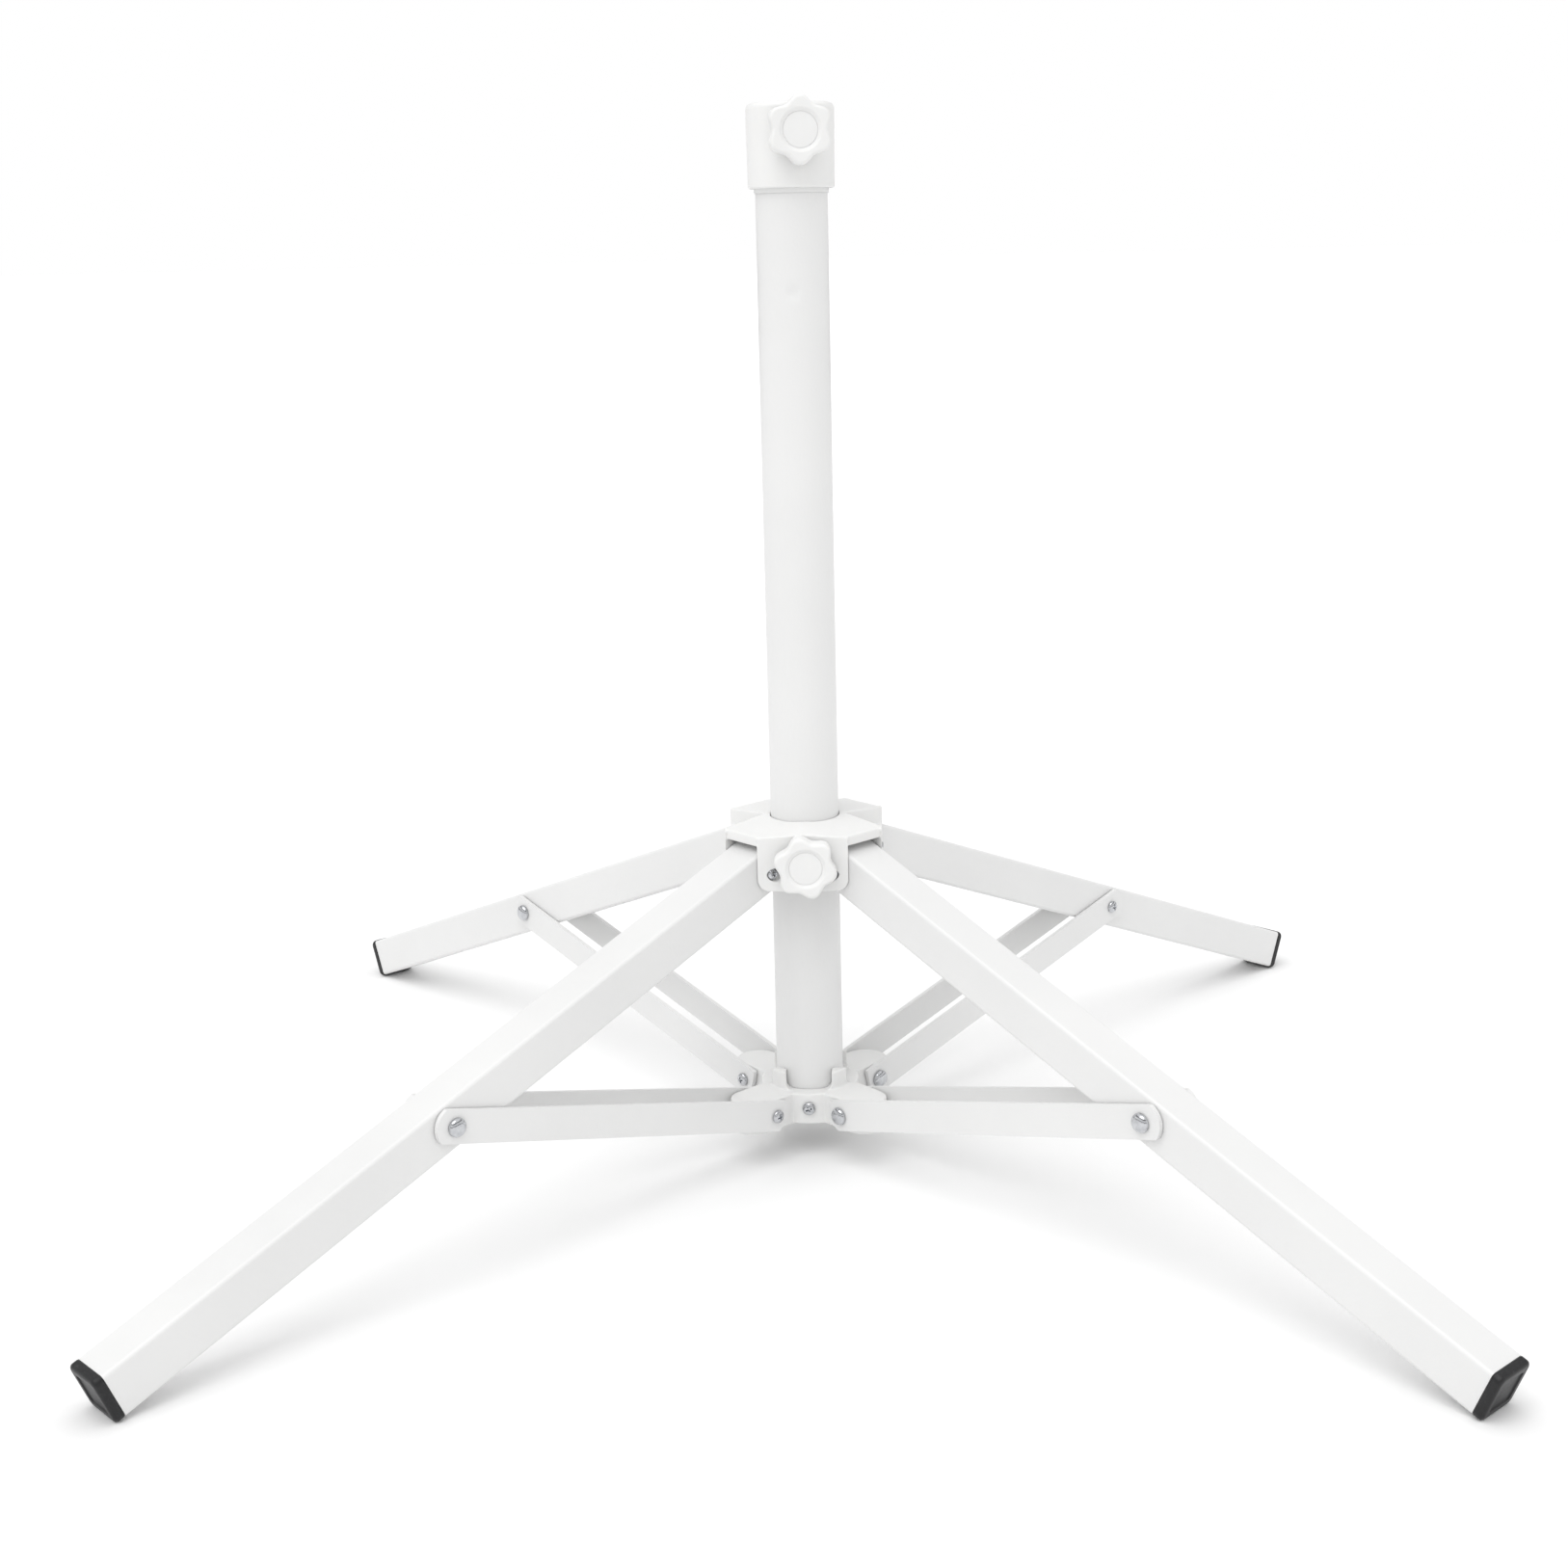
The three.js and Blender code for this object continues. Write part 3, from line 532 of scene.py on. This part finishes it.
HUB = {"below": 9.4, "crown": 25.3, "pitch": 0.09, "plate": 2.0, "face": 43.3, "corner": 47.0,
       "width": 50.0, "foot": 7.0, "sleeve": 22.5, "slot": 26.0, "wall": 3.0, "boss": 8.0, "bore": 19.4,
       "lip": 2.5, "lip_width": 28.2, "lip_low": 15.6, "shelf": 12.0, "screw": 3.6, "seat": 3.7}
FRONT = 3          # the turn of the block that carries the knob


def quarter(turn):
    return HUB_FRAME @ Matrix.Rotation(math.radians(90 * turn), 4, "Z")


def under_roof(crown):
    """Everything under a shallow four-sided roof with its ridges along X and Y."""
    reach_out = 90.0
    eaves, floor = crown - HUB["pitch"] * reach_out / math.sqrt(2), crown - 80
    return lathe("roof", [(0, floor), (reach_out, floor), (reach_out, eaves), (0, crown)], HUB_FRAME, 4)


def hub_block(turn):
    """One block between two legs, facing along X before its turn, with rounded lower corners."""
    half, foot = HUB["width"] / 2, HUB["foot"]
    low = -HUB["below"]
    front = arc(foot - half, low + foot, foot, 180, 270, 8)
    front += arc(half - foot, low + foot, foot, 270, 360, 8)
    front += [(half, HUB["crown"]), (-half, HUB["crown"])]
    place = quarter(turn) @ Matrix(((0, 0, 1, 0), (1, 0, 0, 0), (0, 1, 0, 0), (0, 0, 0, 1)))
    return prism("block", front, 0, HUB["face"], place)


def hub_hollow(turn):
    """The space inside a block, open below. It ends under the shelf of a low block."""
    edge = HUB["slot"] / math.sqrt(2) + HUB["wall"] * math.sqrt(2)
    near, far = HUB["sleeve"] + HUB["wall"], HUB["face"] - HUB["wall"]
    outline = [(near, edge - near), (far, edge - far), (far, far - edge), (near, near - edge)]
    high = HUB["crown"] + 1 if turn == FRONT else HUB["shelf"] - HUB["wall"]
    return prism("hollow", outline, -HUB["below"] - 1, high, quarter(turn))


def above_shelf(turn):
    """The space above a low block, between the walls of two leg slots."""
    apex = (HUB["slot"] / 2 + HUB["wall"]) * math.sqrt(2)
    return prism("above", [(apex, 0), (60, apex - 60), (60, 60 - apex)], HUB["shelf"], 60, quarter(turn))


def slot_place(leg):
    """A frame at a leg's pivot, with X outwards and Y along the pivot."""
    return axes(LEG_PIVOT[leg], Vector((*LEG_PIVOT[leg].xy, 0)), ACROSS[leg])


def hub_lip(leg):
    """A bar across the outer end of a leg's slot, just clear of the leg's corner as it swings."""
    size = (HUB["lip"], HUB["lip_width"], 40)
    middle_out = HUB["corner"] - HUB["lip"] / 2 - PIVOT_RADIUS
    return slab("lip", size, (middle_out, 0, HUB["lip_low"] + 20), slot_place(leg))


def hub_slot(leg):
    """The space that a leg swings in, from just outside the sleeve to past the plate."""
    length = 60
    start = HUB["sleeve"] + GAP - PIVOT_RADIUS
    return slab("slot", (length, HUB["slot"], 80), (start + length / 2, 0, 0), slot_place(leg))


def hub_plate():
    """An eight-sided plate under the roof, wide over the blocks and cut off over the legs."""
    side, corner = HUB["face"], HUB["corner"] * math.sqrt(2) - HUB["face"]
    corners = [(side, corner), (corner, side), (-corner, side), (-side, corner)]
    plate = prism("plate", corners + [(-x, -y) for x, y in corners], 0, 60, HUB_FRAME)
    return cut(plate, under_roof(HUB["crown"] - HUB["plate"]))


def upper_hub():
    """Sliding hub: a sleeve and four blocks under one plate, hollow from below, with the legs between."""
    crown, low = HUB["crown"], -HUB["below"]
    hub = rod("upper_hub_moulding", HUB["sleeve"], low, crown, HUB_FRAME, 96)
    join(hub, *[hub_block(turn) for turn in range(4)])
    spaces = hub_hollow(0)
    slots = [hub_slot(leg) for leg in LEG_NAMES]
    join(spaces, *[hub_hollow(turn) for turn in (1, 2, 3)], *slots)
    combine(spaces, [under_roof(crown - HUB["plate"])], "INTERSECT")
    cut(hub, spaces)

    knob_height = Vector((0, 0, joint_point("hub_knob_turn").z))
    clamp_place = outward(knob_height, joint_axis("hub_knob_turn"))
    boss = rod("boss", HUB["boss"], 20, HUB["face"] - 1, clamp_place)
    join(hub, hub_plate(), boss, *[hub_lip(leg) for leg in LEG_NAMES])
    combine(hub, [under_roof(crown)], "INTERSECT")

    seat = HUB["slot"] / 2 + HUB["wall"]
    tools = [rod("bore", HUB["bore"], low - 2, crown + 2, HUB_FRAME, 96),
             rod("screw", HUB["screw"], 15, 45, clamp_place),
             rod("pocket", POCKET, HUB["face"] - 3.8, HUB["face"] + 2, clamp_place)]
    for leg in LEG_NAMES:
        place = outward(LEG_PIVOT[leg], ACROSS[leg])
        tools += [rod("pin", HOLE, -25, 25, place), rod("head", HUB["seat"], seat, 30, place),
                  rod("nut", HUB["seat"], -30, -seat, place)]
    cut(hub, *tools, *[above_shelf(turn) for turn in range(4) if turn != FRONT])
    soften(hub, 0.45, 7)
    return finish_piece(hub, "slider", "white_plastic", WHITE, "upper_hub")


# ---------------------------------------------------------------- lower hub

BASE = {"below": 9.5, "above": 8.3, "radius": 28.0, "ear": 25.0, "ear_reach": 57.0, "tab": 25.0,
        "tab_top": 18.8, "notch": 25.8, "lip": 2.3, "bore": 19.3, "drain": 16.0}


def lower_hub():
    """Fixed hub: a ring with an ear for each strut pair, and four tabs around the mast."""
    low, top, tab_top = -BASE["below"], BASE["above"], BASE["tab_top"]
    hub = rod("lower_hub_moulding", BASE["radius"], low, top, BASE_FRAME, 128)
    half = BASE["ear"] / 2
    outline = [(0, -half)] + arc(BASE["ear_reach"] - half, 0, half, -90, 90, 24) + [(0, half)]
    for leg in LEG_NAMES:
        place = axes(Vector((0, 0, EAR_PIVOT[leg].z)), Vector((*EAR_PIVOT[leg].xy, 0)), ACROSS[leg])
        join(hub, prism("ear", outline, low, top, place))
    tabs = rod("tabs", BASE["tab"], low, tab_top, BASE_FRAME, 128)
    half_notch, round_corner = BASE["notch"] / 2, 4.0
    notch = arc(half_notch - round_corner, top + round_corner, round_corner, 270, 360, 6)
    notch += [(half_notch, tab_top + 2), (-half_notch, tab_top + 2)]
    notch += arc(round_corner - half_notch, top + round_corner, round_corner, 180, 270, 6)
    for turn in (0, 90):
        stand_up = Matrix.Rotation(math.radians(turn), 4, "Z") @ Matrix.Rotation(math.radians(90), 4, "X")
        cut(tabs, prism("notch", notch, -50, 50, BASE_FRAME @ stand_up))
    join(hub, tabs)
    tools = [rod("bore", BASE["bore"], low + BASE["lip"] - GAP, tab_top + 2, BASE_FRAME, 128),
             rod("drain", BASE["drain"], low - 2, tab_top, BASE_FRAME, 96),
             rod("screw", HOLE, 15, 40, outward(BASE_FRAME.translation, FORWARD))]
    tools += [rod("pin", HOLE, -20, 20, outward(EAR_PIVOT[leg], ACROSS[leg])) for leg in LEG_NAMES]
    cut(hub, *tools)
    soften(hub, 0.5, 5)
    return finish_piece(hub, "stand", "white_plastic", WHITE, "lower_hub")


# ---------------------------------------------------------------- screws, bolts and nuts

SHANK = 2.4
PAN = {"radius": 3.75, "height": 2.6}
DOME = {"radius": 5.0, "height": 3.4}
PIVOT_HEAD = {"radius": 3.3, "height": 2.4}


def thread(start, end, crest=SHANK, pitch=0.8, depth=0.28):
    """Profile points of a rolled thread from one height up to another."""
    turns = max(1, int((end - start) / pitch))
    step = (end - start) / turns
    points = []
    for turn in range(turns):
        z = start + turn * step
        points += [(crest - depth, z), (crest, z + 0.4 * step), (crest, z + 0.6 * step)]
    return points


def pan_profile(radius, height):
    """Profile points of a low rounded head, its seat at height 0."""
    return [(radius - 0.15, 0), (radius, 0.2), (radius, height * 0.3)] + [
        (radius * math.cos(a), height * (0.3 + 0.7 * math.sin(a)))
        for a in (math.radians(d) for d in (15, 30, 45, 58, 70, 80))] + [(0, height)]


def phillips(height, radius, place):
    """Tapered cross cutter for a driver recess."""
    deep, wide, long = height * 0.62, radius * 0.13, radius * 0.62
    sections = []
    for z, reach_out in ((height - deep, 0.35 * long), (height + 0.3, long)):
        ring = []
        for arm in range(4):
            turn = Matrix.Rotation(math.pi / 2 * arm, 2)
            ring += [turn @ Vector(p) for p in ((wide, -wide), (reach_out, -wide), (reach_out, wide))]
        sections.append((ring, z))
    return loft("phillips", sections, place)


def pan_screw(name, length, place, thread_length):
    """Cross-recessed pan head screw, its head's seat at Z = 0."""
    thread_end = thread_length - length
    profile = [(0, -length), (SHANK - 0.5, -length)]
    profile += thread(0.4 - length, thread_end) + [(SHANK, thread_end), (SHANK, 0)]
    screw = lathe(name, profile + pan_profile(**PAN), place, 48)
    cut(screw, phillips(PAN["height"], PAN["radius"], place @ Matrix.Rotation(0.4, 4, "Z")))
    return bevel(screw, 0.08, 2, 40)


def dome_profile():
    """Profile points of a domed head, its seat at height 0."""
    radius, height = DOME["radius"], DOME["height"]
    skirt = [(radius - 0.2, 0), (radius, 0.15), (radius, 0.6)]
    crown = [(radius * math.cos(a) ** 0.85, 0.6 + (height - 0.6) * math.sin(a))
             for a in (math.radians(d) for d in (12, 24, 36, 48, 60, 70, 80))]
    return skirt + crown + [(0, height)]


def dome_nut(name, place):
    """Closed dome nut, its bore chamfered."""
    bore = [(0, 2), (HOLE, 2), (HOLE, 0.3), (HOLE + 0.3, 0)]
    return smooth(lathe(name, bore + dome_profile(), place, 64))


def dome_stud(name, length, place):
    """Domed head with a plain stud behind it."""
    stud = [(0, -length), (SHANK, -length), (SHANK, 0)]
    return smooth(lathe(name, stud + dome_profile(), place, 64))


def pivot_bolt(leg):
    """Bolt through a leg's slot in the upper hub: a low cross-recessed head and a bare end."""
    place = outward(LEG_PIVOT[leg], ACROSS[leg])
    seat = HUB["slot"] / 2 + HUB["wall"] + GAP
    end = -seat - PIVOT_HEAD["height"] + GAP
    profile = [(0, end), (SHANK - 0.4, end)] + thread(end + 0.3, end + 7)
    profile += [(SHANK, end + 7), (SHANK, seat)]
    profile += [(r, z + seat) for r, z in pan_profile(**PIVOT_HEAD)]
    bolt = lathe(f"hub_pivot_bolt_{leg}_detail", profile, place, 48)
    recess = place @ Matrix.Translation((0, 0, seat * MM))
    cut(bolt, phillips(PIVOT_HEAD["height"], PIVOT_HEAD["radius"], recess))
    return bevel(bolt, 0.08, 2, 40)


def pivot_nut(leg):
    """Hexagonal nut on the bare end of a pivot bolt."""
    place = outward(LEG_PIVOT[leg], ACROSS[leg])
    seat = HUB["slot"] / 2 + HUB["wall"] + GAP
    nut = prism(f"hub_pivot_nut_{leg}_detail", arc(0, 0, PIVOT_HEAD["radius"], 30, 330, 5),
                -seat - PIVOT_HEAD["height"], -seat, place)
    cut(nut, rod("bore", SHANK + GAP, -seat - 5, 0, place))
    return bevel(nut, 0.18, 2, 40)


# ---------------------------------------------------------------- legs, feet and struts

LEG = {"size": 25.0, "wall": 1.2, "corner": 2.0}
FOOT = {"size": 26.0, "thick": 5.0, "rim": 2.0, "corner": 3.5, "border": 2.2, "dish": 0.7}
STRUT = {"width": 17.5, "thick": 2.5, "inset": 13.2, "inner": 7.5, "outer": 11.2, "clip": 3.8}
ALONG_X = Matrix(((0, 0, 1, 0), (0, 1, 0, 0), (-1, 0, 0, 0), (0, 0, 0, 1)))


def across_hole(place, x):
    """Cutter for a bolt's hole through a leg or a strut."""
    centre = place @ Matrix.Translation((x * MM, 0, 0))
    return rod("hole", HOLE, -30, 30, centre @ Matrix.Rotation(math.pi / 2, 4, "X"))


def leg_tube(leg):
    """Square tube with rounded corners, drilled for its pivot and for its struts' bolt."""
    place = LEG_FRAME[leg]
    low, high = reach(f"leg_tube_{leg}", LEG_PIVOT[leg], place.to_3x3().col[0])
    outside = rounded_square(LEG["size"], LEG["corner"], 8)
    tube = prism(f"leg_{leg}_tube", outside, low, high, place @ ALONG_X)
    inside = rounded_square(LEG["size"] - 2 * LEG["wall"], LEG["corner"] - LEG["wall"], 4)
    cut(tube, prism("inside", inside, low - 5, high + 5, place @ ALONG_X),
        across_hole(place, 0), across_hole(place, STRUT_AT))
    bevel(tube, 0.3, 2, 50)
    return finish_piece(tube, f"leg_{leg}", "powder_coat", COAT, f"leg_tube_{leg}")


def foot_cap(leg):
    """Push-in cap: a flange with a rounded rim and a shallow dished face, and a hollow plug."""
    place = LEG_FRAME[leg]
    low, high = reach(f"foot_cap_{leg}", LEG_PIVOT[leg], place.to_3x3().col[0])
    start, half = high - FOOT["thick"], FOOT["size"] / 2
    plug = LEG["size"] - 2 * LEG["wall"] - 0.6

    def ring(size, corner, height):
        return rounded_square(size, corner, 8), height

    sections = [ring(plug - 4, 0.8, start + 0.5), ring(plug - 4, 0.8, low), ring(plug - 0.8, 1.4, low),
                ring(plug, 1.6, low + 0.8), ring(plug, 1.6, start),
                ring(2 * half - 0.6, FOOT["corner"], start), ring(2 * half, FOOT["corner"], start + 0.3)]
    rim = FOOT["rim"]
    for across, along in arc(half - rim, high - rim, rim, 0, 90, 8):
        sections.append(ring(2 * across, FOOT["corner"] - (half - across) * 0.6, along))
    dish = half - rim - FOOT["border"]
    sections += [ring(2 * dish, 1.8, high), ring(2 * dish - 0.5, 1.6, high - 0.12),
                 ring(2 * dish - 1.1, 1.5, high - FOOT["dish"]),
                 ring(2 * dish - 5, 0.9, high - FOOT["dish"] - 0.1)]
    cap = loft(f"leg_{leg}_foot", sections, place @ ALONG_X)
    smooth(cap)
    cap.modifiers.new("normals", "WEIGHTED_NORMAL")
    apply_modifiers(cap)
    return finish_piece(cap, f"leg_{leg}", "black_plastic", BLACK, f"foot_cap_{leg}")


def strut_bar(leg, side, label):
    """Flat bar: a clipped corner at its inner end, and a round outer end wider than the bar."""
    place = STRUT_FRAME[leg]
    half, clip = STRUT["width"] / 2, STRUT["clip"]
    spread = math.degrees(math.asin(half / STRUT["outer"]))
    outline = [(-STRUT["inner"] + 0.8, half), (-STRUT["inner"], half - 0.8)]
    outline += [(-STRUT["inner"], clip - half), (clip - STRUT["inner"], -half)]
    outline += arc(STRUT_LENGTH, 0, STRUT["outer"], -spread, spread, 20)
    stand_up = Matrix.Rotation(math.pi / 2, 4, "X")
    near = side * (STRUT["inset"] + STRUT["thick"] / 2)
    low, high = -near - STRUT["thick"] / 2, -near + STRUT["thick"] / 2
    bar = prism(f"strut_{leg}_{label}", outline, low, high, place @ stand_up)
    cut(bar, across_hole(place, 0), across_hole(place, STRUT_LENGTH))
    bevel(bar, 0.45, 3, 50)
    return finish_piece(bar, f"strut_{leg}", "powder_coat", COAT, f"strut_bar_{label}_{leg}")


def side_place(place, side, distance, x):
    """A head's frame on one side of a leg or a strut, its Z axis pointing away from the bar."""
    shift = place @ Matrix.Translation((x * MM, side * distance * MM, 0))
    return shift @ Matrix.Rotation(-side * math.pi / 2, 4, "X")


def leg_fasteners(leg):
    """The bolt and dome nut through a leg and its struts, and both ends of the bolt in the ear."""
    seat = STRUT["inset"] + STRUT["thick"] + GAP
    side = NUT_SIDE[leg]
    bolt_place = side_place(LEG_FRAME[leg], -side, seat, STRUT_AT)
    bolt = pan_screw(f"leg_{leg}_bolt", 2 * seat + 1.5, bolt_place, 6)
    finish_piece(bolt, f"leg_{leg}", "zinc_steel", ZINC, f"leg_bolt_{leg}")
    nut = dome_nut(f"leg_{leg}_dome", side_place(LEG_FRAME[leg], side, seat, STRUT_AT))
    finish_piece(nut, f"leg_{leg}", "zinc_steel", ZINC, f"leg_nut_{leg}")
    head = pan_screw(f"strut_{leg}_screw", STRUT["thick"], side_place(STRUT_FRAME[leg], 1, seat, 0), 1)
    finish_piece(head, f"strut_{leg}", "zinc_steel", ZINC, f"strut_screw_{leg}")
    stud = dome_stud(f"strut_{leg}_dome", STRUT["thick"], side_place(STRUT_FRAME[leg], -1, seat, 0))
    finish_piece(stud, f"strut_{leg}", "zinc_steel", ZINC, f"strut_nut_{leg}")


def ear_pin(leg):
    """The middle of a lower bolt, inside its ear, with chamfered ends."""
    half, chamfer = BASE["ear"] / 2 - 0.2, 0.2
    profile = [(0, -half), (SHANK - chamfer, -half), (SHANK, chamfer - half)]
    profile += [(SHANK, half - chamfer), (SHANK - chamfer, half), (0, half)]
    pin = smooth(lathe(f"ear_pin_{leg}_detail", profile, outward(EAR_PIVOT[leg], ACROSS[leg]), 48))
    return finish_piece(pin, "stand", "zinc_steel", ZINC, f"ear_pin_{leg}")


def fixing_screw():
    """The screw in the front of the lower hub that holds the mast."""
    seat = BASE_FRAME.translation + FORWARD * (BASE["radius"] + GAP) * MM
    screw = pan_screw("lower_hub_fixing", 10, outward(seat, FORWARD), 9)
    return finish_piece(screw, "stand", "zinc_steel", ZINC, "lower_hub_screw")


# ---------------------------------------------------------------- stage

FLOOR_REACH = 60000
FLAG_RADIUS = 2600
FLAG_BANDS = ((1150, 2650), (160, 640))


def paper_floor():
    """A wide sheet of pale paper."""
    corners = [(-1, -1, 0), (1, -1, 0), (1, 1, 0), (-1, 1, 0)]
    points = [Vector(corner) * FLOOR_REACH for corner in corners]
    sheet = make_object("floor", points, [(0, 1, 2, 3)])
    material, nodes, links, shader = new_material("floor_paper")
    grain = noise(nodes, links, object_coordinates(nodes, links), 3, 2)
    colour = tint(nodes, links, grain, (0.85, 0.85, 0.85), (0.87, 0.87, 0.87))
    links.new(colour, shader.inputs["Base Color"])
    shader.inputs["Roughness"].default_value = 0.95
    shader.inputs["Specular IOR Level"].default_value = 0.0
    sheet.data.materials.append(material)


def white_room():
    """Even white light from all around."""
    world = bpy.data.worlds.new("studio")
    bpy.context.scene.world = world
    world.use_nodes = True
    world.node_tree.nodes["Background"].inputs["Color"].default_value = (1, 1, 1, 1)
    world.node_tree.nodes["Background"].inputs["Strength"].default_value = 1.0


def flags():
    """Dark bands around the stand that only gloss reflects, faded towards their edges."""
    dark, nodes, links, shader = new_material("flag_cloth")
    height = nodes.new("ShaderNodeSeparateXYZ")
    links.new(nodes.new("ShaderNodeTexCoord").outputs["Generated"], height.inputs["Vector"])
    from_middle = remap(nodes, links, height.outputs["Z"], -1, 1)
    size = nodes.new("ShaderNodeMath")
    size.operation = "ABSOLUTE"
    links.new(from_middle, size.inputs[0])
    fade = remap(nodes, links, size.outputs["Value"], 0, 1, 0.15, 0.95)
    colour = tint(nodes, links, fade, (0.015, 0.015, 0.017), (0.98, 0.98, 0.98))
    links.new(colour, shader.inputs["Base Color"])
    shader.inputs["Roughness"].default_value = 1.0
    shader.inputs["Specular IOR Level"].default_value = 0.0
    near, far = FLAG_RADIUS, FLAG_RADIUS + 10
    for low, high in FLAG_BANDS:
        profile = [(near, low), (far, low), (far, high), (near, high)]
        band = lathe("flag", profile, Matrix.Identity(4), 48)
        band.data.materials.append(dark)
        band.visible_camera = band.visible_diffuse = band.visible_shadow = False


def key_light():
    """A large soft sun from the front left."""
    light = bpy.data.lights.new("key", "SUN")
    light.energy, light.angle = 1.1, math.radians(50)
    key = bpy.data.objects.new("key", light)
    bpy.context.scene.collection.objects.link(key)
    key.rotation_euler = Vector((0.22, 0.42, -0.88)).to_track_quat("-Z", "Y").to_euler()


def camera():
    """1.2 m in front, slightly to the right and 0.5 m up, looking a little down."""
    away, height, around = 1.20013, 0.50779, math.radians(2.139)
    pitch, turn, roll = math.radians(13.81), math.radians(2.139 + 0.127), math.radians(-1.255)
    data = bpy.data.cameras.new("camera")
    data.sensor_width, data.lens = 36.0, 50.77
    data.shift_x, data.shift_y = -0.0097, -0.0002
    data.clip_start, data.clip_end = 0.05, 500
    view = bpy.data.objects.new("camera", data)
    bpy.context.scene.collection.objects.link(view)
    place = Matrix.Translation((away * math.sin(around), -away * math.cos(around), height))
    aim = Matrix.Rotation(turn, 4, "Z") @ Matrix.Rotation(math.pi / 2 - pitch, 4, "X")
    view.matrix_world = place @ aim @ Matrix.Rotation(roll, 4, "Z")
    bpy.context.scene.camera = view


camera()
paper_floor()
white_room()
flags()
key_light()
mast()
collar()
for name in ("top_knob", "hub_knob"):
    knob(name)
    knob_cap(name)
    clamp_screw(name)
thread_insert("collar_insert", "stand", "top_knob_turn", 0.6)
thread_insert("hub_insert", "slider", "hub_knob_turn", 0.3)
upper_hub()
lower_hub()
fixing_screw()
for leg in LEG_NAMES:
    leg_tube(leg)
    foot_cap(leg)
    strut_bar(leg, 1, "left")
    strut_bar(leg, -1, "right")
    leg_fasteners(leg)
    ear_pin(leg)
    finish_piece(pivot_bolt(leg), "slider", "zinc_steel", ZINC, f"hub_pivot_bolt_{leg}")
    finish_piece(pivot_nut(leg), "slider", "zinc_steel", ZINC, f"hub_pivot_nut_{leg}")

bpy.context.scene.view_settings.view_transform = "Standard"

bpy.context.view_layer.update()
